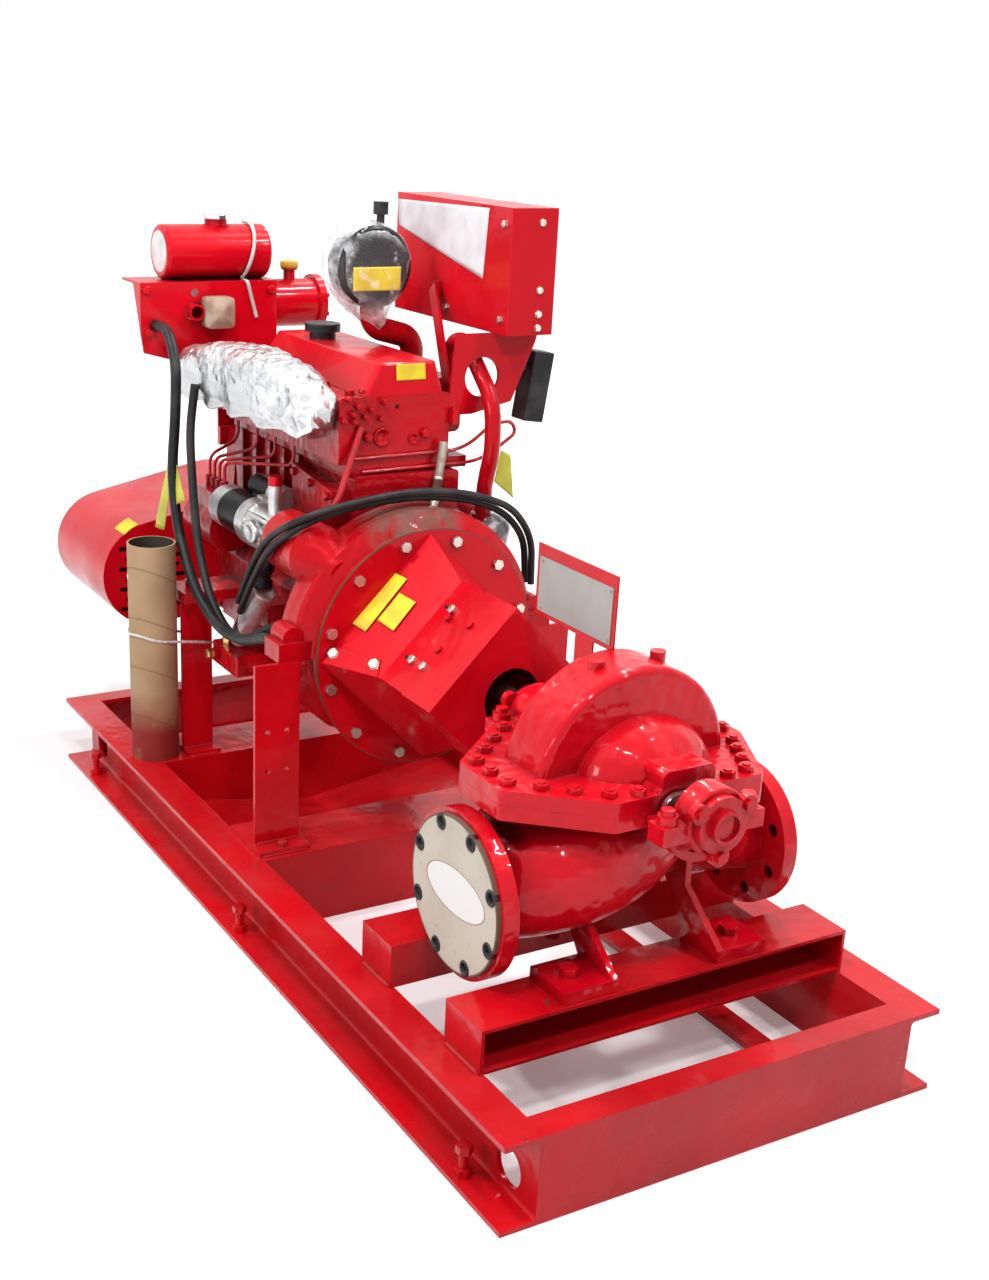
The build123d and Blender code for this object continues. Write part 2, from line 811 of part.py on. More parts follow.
# COOLING AND AIR
# Heat exchanger: cross shell with a flanged end, filler neck and hose stub
with BuildPart() as heat_exchanger:
    with BuildSketch(Plane.XZ.offset(150)):
        with Locations((shell_x, shell_z)):
            Circle(shell_radius)
    extrude(amount=-280)
    with BuildSketch(Plane.XZ.offset(-130)):
        with Locations((shell_x, shell_z)):
            Circle(shell_radius + 9)
    extrude(amount=-16)
    with BuildSketch(Plane.XZ.offset(-146)):
        with Locations((shell_x, shell_z)):
            Circle(shell_radius - 8)
    extrude(amount=-10)
    fillet(edges().filter_by(GeomType.CIRCLE).sort_by(Axis.Y)[-1], 5)
    with BuildSketch(Plane.XZ.offset(-130)):
        with Locations((shell_x, shell_z)):
            with PolarLocations(shell_radius + 1, 8, start_angle=22.5):
                Circle(5)
    extrude(amount=-22)
    # filler neck and cap
    with Locations((shell_x, 77, shell_z + shell_radius - 14)):
        Cylinder(13, 40, align=(Align.CENTER, Align.CENTER, Align.MIN))
    with Locations((shell_x, 77, shell_z + shell_radius + 20)):
        Cylinder(18, 13, align=(Align.CENTER, Align.CENTER, Align.MIN))
    # pads onto the bracket
    pad_x = exchanger_front_x - bracket_sheet - 20
    with Locations((pad_x, -60, shell_z), (pad_x, 0, shell_z)):
        Box(40, 30, 40)
    # hose stub through the bracket
    with BuildSketch(Plane.YZ.offset(exchanger_front_x - 40)):
        with Locations((-175, shell_z - 5)):
            Circle(17.5)
            Circle(13, mode=Mode.SUBTRACT)
    extrude(amount=62)
    with Locations((exchanger_front_x - 30, -160, shell_z - 5)):
        Box(30, 60, 35)
heat_exchanger.part.label = "heat_exchanger"

# Folded bracket that carries the exchanger and the tank
with BuildPart() as exchanger_bracket:
    with BuildSketch(Plane.YZ.offset(exchanger_front_x - bracket_sheet)):
        with BuildLine():
            Polyline(
                (bracket_left, shelf_top),
                (bracket_left, 1031),
                (-288, 991),
                (-178, 961),
                (-120, 945),
                (bracket_right, 945),
                (bracket_right, shelf_top),
                close=True,
            )
        make_face()
        with Locations((-175, shell_z - 5)):
            Circle(18.5, mode=Mode.SUBTRACT)
        with Locations((-172, shell_z + 34)):
            Circle(8, mode=Mode.SUBTRACT)
    extrude(amount=bracket_sheet)
    with BuildSketch(Plane.XZ.offset(-bracket_left)):
        with BuildLine():
            Polyline(
                (exchanger_front_x, shelf_top),
                (exchanger_front_x, 1031),
                (exchanger_front_x - 5, 1031),
                (exchanger_front_x - 45, shelf_top),
                close=True,
            )
        make_face()
    extrude(amount=-bracket_sheet)
    shelf_x = (exchanger_front_x + exchanger_back_x) / 2
    shelf_y = (bracket_left + bracket_right) / 2
    with Locations((shelf_x, shelf_y, shelf_top - 2.5)):
        Box(exchanger_front_x - exchanger_back_x, bracket_right - bracket_left, 5)
    # leg down to the timing cover
    with Locations((exchanger_front_x - bracket_sheet / 2, -50, 870)):
        Box(bracket_sheet, 140, 170)
    with Locations((exchanger_front_x + 5, -50, 805)):
        Box(10, 140, 40)
exchanger_bracket.part.label = "exchanger_bracket"

with BuildPart() as coolant_tank:
    with BuildSketch(Plane.XZ.offset(-10)):
        with Locations((tank_x, shelf_top + tank_radius)):
            Circle(tank_radius)
    extrude(amount=240)
    fillet(edges().filter_by(GeomType.CIRCLE), 8)
    with Locations((tank_x, -100, shelf_top + 2 * tank_radius - 4)):
        Cylinder(24, 16, align=(Align.CENTER, Align.CENTER, Align.MIN))
coolant_tank.part.label = "coolant_tank"

with BuildPart() as tank_cap:
    with Locations((tank_x, -100, shelf_top + 2 * tank_radius + 12)):
        Cylinder(33, 9, align=(Align.CENTER, Align.CENTER, Align.MIN))
    with BuildSketch(Plane.XY.offset(shelf_top + 2 * tank_radius + 12)):
        with Locations((tank_x, -100)):
            Rectangle(76, 14)
    extrude(amount=7)
    fillet(edges().filter_by(GeomType.CIRCLE).sort_by(Axis.Z)[-1], 1.5)
tank_cap.part.label = "tank_cap"

# Air cleaner: a short drum facing the pump, tapering behind, with its indicator knob
with BuildPart() as air_cleaner:
    with BuildSketch(Plane.XZ.offset(-air_y)):
        with BuildLine():
            Polyline(
                (air_face_x, air_z),
                (air_face_x, air_z + air_radius - 6),
                (air_face_x - 6, air_z + air_radius),
                (air_face_x - 55, air_z + air_radius),
                (air_face_x - 62, air_z + air_radius - 10),
                (air_face_x - 118, air_z + 40),
                (air_face_x - 150, air_z + 34),
                (air_face_x - 150, air_z),
                close=True,
            )
        make_face()
    revolve(axis=Axis((0, air_y, air_z), (1, 0, 0)))
    with Locations((air_face_x - 40, air_y + 27, air_z + 60)):
        Cylinder(8, 40, align=(Align.CENTER, Align.CENTER, Align.MIN))
    with Locations((air_face_x - 40, air_y + 27, air_z + 98)):
        Cylinder(15, 24, align=(Align.CENTER, Align.CENTER, Align.MIN))
air_cleaner.part.label = "air_cleaner"

with BuildPart() as intake_pipe:
    intake_points = [(-390, 60, air_z - 65), (-390, 60, 1085), (-390, 155, 1060), (-390, 155, intake_top)]
    with BuildLine() as intake_path:
        FilletPolyline(*intake_points, radius=corner_radii(intake_points))
    with BuildSketch(Plane(origin=intake_path.line @ 0, z_dir=intake_path.line % 0)):
        Circle(24)
    sweep()
    add(air_cleaner.part, mode=Mode.SUBTRACT)
intake_pipe.part.label = "intake_pipe"

with BuildPart() as intake_manifold:
    with Locations((-430, 152, (890 + intake_top) / 2)):
        Box(360, 85, intake_top - 890)
    fillet(edges().filter_by(Axis.X), 14)
    add(cylinder_head.part, mode=Mode.SUBTRACT)
intake_manifold.part.label = "intake_manifold"

# Coolant pipe from the manifold over the near end and down to the flywheel housing
with BuildPart() as coolant_pipe:
    pipe_points = [
        (-268, 178, intake_top),
        (-268, 178, 1068),
        (-218, 180, 1078),
        (-104, 180, 975),
        (-98, 180, 880),
        (pipe_x, pipe_y, 812),
        (pipe_x, pipe_y, pipe_end_z),
    ]
    pipe_bends = corner_radii(pipe_points)
    with BuildLine() as pipe_path:
        FilletPolyline(*pipe_points, radius=pipe_bends)
    with BuildSketch(Plane(origin=pipe_path.line @ 0, z_dir=pipe_path.line % 0)):
        Circle(pipe_radius)
    sweep()
    print("coolant pipe bends", [round(r) for r in pipe_bends])
coolant_pipe.part.label = "coolant_pipe"

# Black cables and hoses on the left side and over the engine
cable_routes = [
    (7.0, [
        (-350, -246, 530), (-262, -258, 622), (-165, -266, 712), (-84, -232, 778),
        (-84, -108, 802), (-84, 10, 808), (-84, 125, 792), (-84, 207, 759),
        (-84, 256, 704), (-84, 266, 609.2),
    ]),
    (7.0, [
        (-358, -246, 550), (-275, -258, 642), (-172, -266, 734), (-66, -232, 796),
        (-66, -108, 816), (-66, 10, 824), (-66, 125, 806), (-66, 215, 772),
        (-66, 264, 706), (-66, 268, 609.2),
    ]),
    (11.0, [
        (exchanger_front_x, -262, 1050), (-690, -262, 1050), (-600, -278, 1000), (-600, -282, 880),
        (-618, -285, 770), (-592, -285, 650), (-500, -285, 540), (-372, -285, 494),
        (-250, -285, 502), (-150, -277.5, 540), (-104, -277.5, 540),
    ]),
    (9.0, [
        (-560, -253.5, 955), (-572, -262, 860), (-560, -262, 745), (-534, -262, 620),
        (-470, -262, 526), (-383, -262, 482), (-295, -262, 484), (-215, -256, 530),
        (-162, -238, 560), (housing_back, -238, 560),
    ]),
]
with BuildPart() as cables:
    for cable_radius, cable_points in cable_routes:
        cable_bends = corner_radii(cable_points)
        with BuildLine() as cable_path:
            FilletPolyline(*cable_points, radius=cable_bends)
        with BuildSketch(Plane(origin=cable_path.line @ 0, z_dir=cable_path.line % 0)):
            Circle(cable_radius)
        sweep()
        print("cable bends", [round(r) for r in cable_bends])
cables.part.label = "cables"

# INSTRUMENT PANEL
with BuildPart() as instrument_panel:
    panel_middle = (
        (panel_x[0] + panel_x[1]) / 2,
        (panel_y[0] + panel_y[1]) / 2,
        (panel_z[0] + panel_z[1]) / 2,
    )
    with Locations(panel_middle):
        Box(panel_x[1] - panel_x[0], panel_y[1] - panel_y[0], panel_z[1] - panel_z[0])
    fillet(edges().filter_by(Axis.Z), 3)
instrument_panel.part.label = "instrument_panel"

# Panel supports: a plate on the near end of the head and a flat strut
with BuildPart() as panel_bracket:
    with BuildSketch(Plane.YZ.offset(head_near_x - bracket_plate)):
        with BuildLine():
            Polyline(
                (110, 945),
                (110, 1000),
                (120, panel_z[0]),
                (305, panel_z[0]),
                (300, panel_z[0] - 20),
                (250, 965),
                (160, 945),
                close=True,
            )
        make_face()
        with Locations((180, 1016)):
            Circle(38, mode=Mode.SUBTRACT)
    extrude(amount=bracket_plate)
    with BuildSketch(Plane(origin=(-372, 190, 1162), x_dir=(0.71, 0, 0.71), z_dir=(226, -76, -222))):
        Rectangle(28, bracket_plate)
    extrude(amount=322)
    with Locations((-370, panel_y[0] - 5, 1160)):
        Box(30, 10, 30)
    with Locations((head_near_x + 2, 116, 944)):
        Box(24, 12, 30)
panel_bracket.part.label = "panel_bracket"

# Small control unit hung under the panel
with BuildPart() as control_unit:
    with Locations(Pos(-190, 326, 986) * Rot(-8, 0, 0)):
        Box(50, 48, 140)
    fillet(edges(), 4)
    with Locations((-190, 300, 1060)):
        Box(20, 8, 80)
    with Locations((-190, 309, 1024)):
        Box(20, 26, 8)
control_unit.part.label = "control_unit"

# PUMP
# Casing body about the shaft line: suction chambers swelling out of square stuffing boxes
with BuildPart() as casing_body:
    mirrored_sections = [(-x, width, height) for x, width, height in reversed(chamber_sections)]
    for x, width, height in mirrored_sections + chamber_sections:
        with BuildSketch(Plane.YZ.offset(pump_x + x)):
            with Locations((0, shaft_z)):
                Ellipse(width, height)
    loft()
    with BuildSketch(Plane.YZ.offset(pump_x - casing_half_length)):
        with Locations((0, shaft_z)):
            Circle(neck_radius)
    extrude(amount=2 * casing_half_length)
    for end in (-1, 1):
        with BuildSketch(Plane.YZ.offset(pump_x + end * casing_half_length)):
            with Locations((0, shaft_z)):
                RectangleRounded(2 * box_half_width, 2 * neck_radius, 12)
        extrude(amount=-end * (casing_half_length - chamber_sections[2][0]))

# Spiral volute: its radius grows evenly from the discharge side over the top and round
volute_points = []
for angle in range(0, 361, 20):
    reach = volute_start + volute_growth * angle / 360
    volute_points.append((reach * cos(radians(angle)), shaft_z + reach * sin(radians(angle))))
with BuildPart() as volute_body:
    with BuildSketch(Plane.YZ.offset(pump_x - volute_half_width)):
        with BuildLine():
            Spline(*volute_points)
            Line(volute_points[-1], volute_points[0])
        make_face()
    extrude(amount=2 * volute_half_width)
    fillet(edges().group_by(Axis.X)[0] + edges().group_by(Axis.X)[-1], volute_shoulder)

# Parting flange outline, the same on both halves
lip_points = [
    (x * casing_half_length, y)
    for x, y in (
        (1, 150), (0.12, 232), (-0.12, 232), (-1, 150),
        (-1, -133), (-0.34, -267), (0.34, -267), (1, -133),
    )
]
with BuildPart() as casing_lip:
    with BuildSketch(Plane.XY.offset(shaft_z)):
        with Locations((pump_x, 0)):
            with BuildLine():
                Polyline(*[(pump_x + x, y) for x, y in lip_points], close=True)
            make_face()
        fillet(vertices(), 14)
    extrude(amount=lip_thickness)

casing_bolt_spots = [
    (pump_x + x * end, y)
    for x, y in (
        (163, -84), (150, -128), (116, -168), (82, -206), (46, -243),
        (163, 88), (157, 130), (124, 151), (88, 170), (54, 189),
    )
    for end in (-1, 1)
] + [(pump_x, -246), (pump_x, 209)]

# Upper casing
with BuildPart() as pump_upper_casing:
    add(casing_body.part)
    add(volute_body.part)
    split(bisect_by=Plane.XY.offset(shaft_z), keep=Keep.TOP)
    add(casing_lip.part)
    # vent bosses on the hump
    with Locations((pump_x, -60, shaft_z + 160), (pump_x, 60, shaft_z + 160)):
        Cylinder(13, 25, align=(Align.CENTER, Align.CENTER, Align.MIN))
    # pad where the nameplate stand is fixed
    with Locations((stand_leg_x, 0, shaft_z + neck_radius)):
        Box(34, 44, 48, align=(Align.CENTER, Align.CENTER, Align.MIN))
    with BuildSketch(Plane.YZ.offset(pump_x - 200)):
        with Locations((0, shaft_z)):
            Circle(shaft_radius + 0.5)
    extrude(amount=400, mode=Mode.SUBTRACT)
    with Locations(*[(x, y, shaft_z + lip_thickness) for x, y in casing_bolt_spots]):
        Hole(casing_bolt_radius + 0.3, depth=lip_thickness)
pump_upper_casing.part.label = "pump_upper_casing"

# Lower casing with both nozzles and four feet
with BuildPart() as pump_lower_casing:
    add(casing_body.part)
    add(volute_body.part)
    split(bisect_by=Plane.XY.offset(shaft_z), keep=Keep.BOTTOM)
    with Locations((0, 0, -lip_thickness)):
        add(casing_lip.part)
    # suction nozzle growing into the chamber that feeds both sides of the impeller
    with BuildSketch(Plane.XZ.offset(-70)):
        with Locations((pump_x, 425)):
            RectangleRounded(200, 140, 60)
    with BuildSketch(Plane.XZ.offset(70)):
        with Locations((pump_x, 406)):
            RectangleRounded(290, 204, 85)
    with BuildSketch(Plane.XZ.offset(suction_face_y - flange_thickness)):
        with Locations((pump_x, nozzle_z)):
            Circle(80)
    loft()
    with BuildSketch(Plane.XZ.offset(suction_face_y - flange_thickness)):
        with Locations((pump_x, nozzle_z)):
            Circle(suction_flange_radius)
    extrude(amount=flange_thickness)
    # discharge nozzle
    with BuildSketch(Plane.XZ.offset(-60)):
        with Locations((pump_x, 400)):
            RectangleRounded(150, 150, 60)
    with BuildSketch(Plane.XZ.offset(-discharge_face_y + flange_thickness)):
        with Locations((pump_x, nozzle_z)):
            Circle(66)
    loft()
    with BuildSketch(Plane.XZ.offset(-discharge_face_y + flange_thickness)):
        with Locations((pump_x, nozzle_z)):
            Circle(discharge_flange_radius)
    extrude(amount=-flange_thickness)
    # feet, each with a rib at its inner end
    foot_top = support_top + foot_plate
    for support, toward in ((near_support, -1), (far_support, 1)):
        x = sum(support) / 2
        for side, (inner, outer) in foot_spans.items():
            with Locations((x, side * (inner + outer) / 2, support_top + foot_plate / 2)):
                Box(foot_length, outer - inner, foot_plate)
            with BuildSketch(Plane.XZ.offset(-side * inner)):
                with BuildLine():
                    Polyline(
                        (x - toward * foot_length / 2, foot_top),
                        (x + toward * foot_length / 2, foot_top),
                        (pump_x - toward * 36, foot_top + 75),
                        (pump_x - toward * 36, 450),
                        (pump_x - toward * 88, 450),
                        (pump_x - toward * 92, foot_top + 75),
                        close=True,
                    )
                make_face()
            extrude(amount=-side * foot_rib)
    # drain plug under the suction chamber
    with BuildSketch(Plane.XY.offset(nozzle_z - 100)):
        with Locations((pump_x + 26, -126)):
            Circle(15)
    extrude(amount=70)
    # blind nozzle bores
    with BuildSketch(Plane.XZ.offset(suction_face_y)):
        with Locations((pump_x, nozzle_z)):
            Circle(suction_bore_radius)
            with PolarLocations(suction_bolt_circle / 2, flange_bolt_count, start_angle=22.5):
                Circle(flange_hole_radius)
    extrude(amount=-flange_thickness, mode=Mode.SUBTRACT)
    with BuildSketch(Plane.XZ.offset(suction_face_y)):
        with Locations((pump_x, nozzle_z)):
            Circle(suction_bore_radius)
    extrude(amount=-150, mode=Mode.SUBTRACT)
    with BuildSketch(Plane.XZ.offset(-discharge_face_y)):
        with Locations((pump_x, nozzle_z)):
            Circle(discharge_bore_radius)
            with PolarLocations(discharge_bolt_circle / 2, flange_bolt_count, start_angle=22.5):
                Circle(flange_hole_radius)
    extrude(amount=flange_thickness, mode=Mode.SUBTRACT)
    with BuildSketch(Plane.XZ.offset(-discharge_face_y)):
        with Locations((pump_x, nozzle_z)):
            Circle(discharge_bore_radius)
    extrude(amount=150, mode=Mode.SUBTRACT)
    with BuildSketch(Plane.YZ.offset(pump_x - 200)):
        with Locations((0, shaft_z)):
            Circle(shaft_radius + 0.5)
    extrude(amount=400, mode=Mode.SUBTRACT)
    with Locations(*[(x, y, shaft_z) for x, y in casing_bolt_spots]):
        Hole(casing_bolt_radius + 0.3, depth=lip_thickness)
pump_lower_casing.part.label = "pump_lower_casing"

# Studs and nuts round the parting flange
with BuildPart() as casing_bolts:
    with BuildSketch(Plane.XY.offset(shaft_z - lip_thickness)):
        with Locations(*casing_bolt_spots):
            Circle(casing_bolt_radius)
    extrude(amount=2 * lip_thickness + casing_nut_height + stud_end)
    with BuildSketch(Plane.XY.offset(shaft_z + lip_thickness)):
        with Locations(*casing_bolt_spots):
            RegularPolygon(casing_nut_flats / 2, 6, major_radius=False)
    extrude(amount=casing_nut_height)
    # holding-down bolts on the feet
    with BuildSketch(Plane.XY.offset(support_top + foot_plate)):
        with Locations(*[
            (sum(support) / 2, side * (sum(foot_spans[side]) / 2 + 10))
            for support in (near_support, far_support)
            for side in foot_spans
        ]):
            RegularPolygon(14, 6, major_radius=False)
    extrude(amount=13)
casing_bolts.part.label = "casing_bolts"

# Outboard bearing: split barrel with bolted ears, carried on a half-round arm
bearing_x = pump_x + casing_half_length
barrel_x = bearing_x + bearing_gap
with BuildPart() as outboard_bearing:
    with BuildSketch(Plane.YZ.offset(bearing_x)):
        with Locations((0, shaft_z)):
            Circle(arm_radius)
            Circle(arm_radius - arm_wall, mode=Mode.SUBTRACT)
            with Locations((0, arm_radius - 16)):
                Rectangle(2 * arm_radius + 10, 2 * arm_radius - 22, mode=Mode.SUBTRACT)
    extrude(amount=bearing_gap + 14)
    with BuildSketch(Plane.YZ.offset(barrel_x)):
        with Locations((0, shaft_z)):
            Circle(barrel_radius)
            with Locations((0, -arm_radius / 2 + 12)):
                Rectangle(1.5 * arm_radius, arm_radius - 24)
    extrude(amount=14)
    with BuildSketch(Plane.YZ.offset(barrel_x)):
        with Locations((0, shaft_z)):
            Circle(barrel_radius)
    extrude(amount=bearing_length)
    fillet(edges().filter_by(GeomType.CIRCLE).sort_by(Axis.X)[-1], 5)
    ear_middle = barrel_x + bearing_length / 2
    with Locations((ear_middle, sum(ear_reach) / 2, shaft_z - ear_height / 2 + 6)):
        Box(bearing_length - 4, ear_reach[1] - ear_reach[0], ear_height)
    with Locations(
        (ear_middle, ear_reach[0] + ear_bolt_radius + 4, shaft_z + 6),
        (ear_middle, ear_reach[1] - ear_bolt_radius - 4, shaft_z + 6),
    ):
        Cylinder(ear_bolt_radius, 14, align=(Align.CENTER, Align.CENTER, Align.MIN))
        Cylinder(ear_bolt_radius - 5, 23, align=(Align.CENTER, Align.CENTER, Align.MIN))
    # end cap with three bolt lobes, its ring and shallow recess
    with BuildSketch(Plane.YZ.offset(barrel_x + bearing_length)):
        with Locations((0, shaft_z)):
            Circle(end_cap_radius)
            with PolarLocations(end_cap_radius + 6, 3, start_angle=-90):
                Circle(16)
    extrude(amount=end_cap_length)
    with BuildSketch(Plane.YZ.offset(barrel_x + bearing_length + end_cap_length)):
        with Locations((0, shaft_z)):
            with PolarLocations(end_cap_radius + 6, 3, start_angle=-90):
                RegularPolygon(9, 6, major_radius=False)
    extrude(amount=6)
    with BuildSketch(Plane.YZ.offset(barrel_x + bearing_length + end_cap_length)):
        with Locations((0, shaft_z)):
            Circle(end_ring_radius)
    extrude(amount=end_ring_length)
    with BuildSketch(Plane.YZ.offset(barrel_x + bearing_length + end_cap_length + end_ring_length)):
        with Locations((0, shaft_z)):
            Circle(end_recess_radius)
    extrude(amount=-6, mode=Mode.SUBTRACT)
    with BuildSketch(Plane.YZ.offset(bearing_x)):
        with Locations((0, shaft_z)):
            Circle(shaft_radius + 0.5)
    extrude(amount=bearing_gap + 30, mode=Mode.SUBTRACT)
outboard_bearing.part.label = "outboard_bearing"

with BuildPart() as inboard_bearing:
    mirror(outboard_bearing.part, about=Plane.YZ.offset(pump_x))
    with BuildSketch(Plane.YZ.offset(pump_x - 320)):
        with Locations((0, shaft_z)):
            Circle(shaft_radius + 0.5)
    extrude(amount=200, mode=Mode.SUBTRACT)
inboard_bearing.part.label = "inboard_bearing"

# Shaft and the two gland followers
with BuildPart() as pump_shaft:
    with BuildSketch(Plane.YZ.offset(200)):
        with Locations((0, shaft_z)):
            Circle(shaft_radius)
    extrude(amount=bearing_x + bearing_gap + 30 - 200)
    for x in (pump_x - casing_half_length - gland_thickness - 4, pump_x + casing_half_length + 4):
        with BuildSketch(Plane.YZ.offset(x)):
            with Locations((0, shaft_z)):
                SlotOverall(108, 54)
        extrude(amount=gland_thickness)
pump_shaft.part.label = "pump_shaft"

# Coupling guard: diamond section, tapering from the disc and closed at the front
with BuildPart() as guard_disc:
    with BuildSketch(Plane.YZ.offset(disc_face - disc_thickness)):
        with Locations((0, shaft_z)):
            Circle(disc_radius)
    extrude(amount=disc_thickness)
    with BuildSketch(Plane.YZ.offset(disc_face)):
        with Locations((0, shaft_z)):
            with PolarLocations(disc_bolt_circle / 2, disc_bolt_count, start_angle=15):
                RegularPolygon(9.5, 6, major_radius=False)
    extrude(amount=8)
guard_disc.part.label = "guard_disc"

with BuildPart() as coupling_guard:
    waist_inner = guard_waist - guard_sheet * sqrt(2)
    for shell, mode in ((0.0, Mode.ADD), (guard_sheet * sqrt(2), Mode.SUBTRACT)):
        with BuildPart(mode=mode):
            with BuildSketch(Plane.YZ.offset(disc_face)):
                with Locations((0, shaft_z)):
                    RegularPolygon(guard_root - shell, 4, rotation=0)
            with BuildSketch(Plane.YZ.offset(guard_waist_x)):
                with Locations((0, shaft_z)):
                    RegularPolygon(waist_inner - shell, 4, rotation=0)
            loft()
            with BuildSketch(Plane.YZ.offset(guard_waist_x)):
                with Locations((0, shaft_z)):
                    RegularPolygon(waist_inner - shell, 4, rotation=0)
            extrude(amount=guard_lap_x + guard_lap - guard_waist_x)
    # front piece slides over the rear one and is closed by the end plate
    with BuildSketch(Plane.YZ.offset(guard_lap_x)):
        with Locations((0, shaft_z)):
            RegularPolygon(guard_waist, 4, rotation=0)
            RegularPolygon(waist_inner, 4, rotation=0, mode=Mode.SUBTRACT)
    extrude(amount=guard_front_x - guard_lap_x)
    with BuildSketch(Plane.YZ.offset(guard_front_x - guard_sheet)):
        with Locations((0, shaft_z)):
            RegularPolygon(guard_waist, 4, rotation=0)
            Circle(guard_hole_radius, mode=Mode.SUBTRACT)
    extrude(amount=guard_sheet)
    # bolted tabs at the side seams and the bolts of the lapped joint
    taper_run = guard_waist_x - disc_face
    taper_fall = guard_root - waist_inner
    for side in (-1, 1):
        tab_plane = Plane(
            origin=(disc_face, side * guard_root, shaft_z),
            x_dir=(taper_run, -side * taper_fall, 0),
            z_dir=(taper_fall, side * taper_run, taper_run),
        )
        with BuildSketch(tab_plane):
            with BuildLine():
                Polyline((6, 0), (14, -side * 37), (121, -side * 35), (129, 0), close=True)
            make_face()
        extrude(amount=guard_sheet)
        with BuildSketch(tab_plane):
            with Locations((19, -side * 23), (112, -side * 22)):
                RegularPolygon(8, 6, major_radius=False)
        extrude(amount=9)
        lap_plane = Plane(
            origin=(guard_lap_x, side * waist_inner / 2, shaft_z + waist_inner / 2),
            x_dir=(1, 0, 0),
            z_dir=(0, side, 1),
        )
        with BuildSketch(lap_plane):
            with Locations(*[
                (x, -side * v) for x, v in ((-46, 61), (-40, -57), (-38, 44), (4, -57), (4, -16), (30, 51))
            ]):
                RegularPolygon(7, 6, major_radius=False)
        extrude(amount=9)
coupling_guard.part.label = "coupling_guard"

# Shipping covers over both nozzles
with BuildPart() as suction_cover:
    with BuildSketch(Plane.XZ.offset(suction_face_y)):
        with Locations((pump_x, nozzle_z)):
            Circle(suction_flange_radius - cover_margin)
            with PolarLocations(suction_bolt_circle / 2, flange_bolt_count, start_angle=22.5):
                Circle(cover_hole_radius, mode=Mode.SUBTRACT)
    extrude(amount=cover_thickness)
suction_cover.part.label = "suction_cover"

with BuildPart() as discharge_cover:
    with BuildSketch(Plane.XZ.offset(-discharge_face_y)):
        with Locations((pump_x, nozzle_z)):
            Circle(discharge_flange_radius - cover_margin)
            with PolarLocations(discharge_bolt_circle / 2, flange_bolt_count, start_angle=22.5):
                Circle(cover_hole_radius, mode=Mode.SUBTRACT)
    extrude(amount=-cover_thickness)
discharge_cover.part.label = "discharge_cover"

# Nameplate stand: sheet with a leg down to the casing, and the plate on its left face
with BuildPart() as nameplate_stand:
    with Locations((sum(stand_x) / 2, 0, sum(stand_z) / 2)):
        Box(stand_x[1] - stand_x[0], stand_sheet, stand_z[1] - stand_z[0])
    with Locations((stand_leg_x, 0, (shaft_z + neck_radius + stand_z[0]) / 2)):
        Box(50, stand_sheet, stand_z[0] - shaft_z - neck_radius)
    add(pump_upper_casing.part, mode=Mode.SUBTRACT)
nameplate_stand.part.label = "nameplate_stand"

with BuildPart() as nameplate:
    with Locations((sum(stand_x) / 2, -(stand_sheet + plate_sheet) / 2, sum(stand_z) / 2 - 6)):
        Box(stand_x[1] - stand_x[0] - 2 * plate_margin, plate_sheet, stand_z[1] - stand_z[0] - 30)
    with BuildSketch(Plane.XZ.offset(stand_sheet / 2 + plate_sheet)):
        with Locations((sum(stand_x) / 2, sum(stand_z) / 2 - 6)):
            with GridLocations(stand_x[1] - stand_x[0] - 32, stand_z[1] - stand_z[0] - 42, 2, 2):
                Circle(3)
    extrude(amount=2)
nameplate.part.label = "nameplate"

# TUBE
with BuildPart() as paper_tube:
    with BuildSketch(Plane.XY.offset(channel_height)):
        with Locations((tube_x, tube_y)):
            Circle(tube_outer_radius)
            Circle(tube_outer_radius - tube_wall, mode=Mode.SUBTRACT)
    extrude(amount=tube_top - channel_height)
paper_tube.part.label = "paper_tube"

# Exports
parts = [
    left_rail, right_rail, pump_end_channel, engine_end_channel, front_cross_channel,
    rear_cross_channel, underframe_bar, levelling_screws, near_pump_support, far_pump_support,
    front_left_post, front_right_post, rear_left_post, rear_right_post, rear_mounts,
    side_block, drip_pan, coolant_pipe, cables, control_unit,
    engine_block, oil_pan, cylinder_head, rocker_cover, oil_filler_cap, flywheel_housing,
    starter_motor, exhaust_manifold, injection_pump, steel_lines, lift_pump, oil_filter,
    timing_cover, front_hub, belt_guard, heat_exchanger, exchanger_bracket, coolant_tank,
    tank_cap, air_cleaner, intake_pipe, intake_manifold, instrument_panel, panel_bracket,
    pump_lower_casing, pump_upper_casing, casing_bolts, outboard_bearing, inboard_bearing,
    pump_shaft, guard_disc, coupling_guard, suction_cover, discharge_cover, nameplate_stand,
    nameplate, paper_tube,
]
for piece in parts:
    export_step(piece.part, "parts/" + piece.part.label + ".step")
    print(piece.part.label, round(piece.part.volume / 1000), "cm3", len(piece.part.solids()))
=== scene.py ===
import math

import bmesh
import bpy
import numpy as np
from mathutils import Matrix, Vector


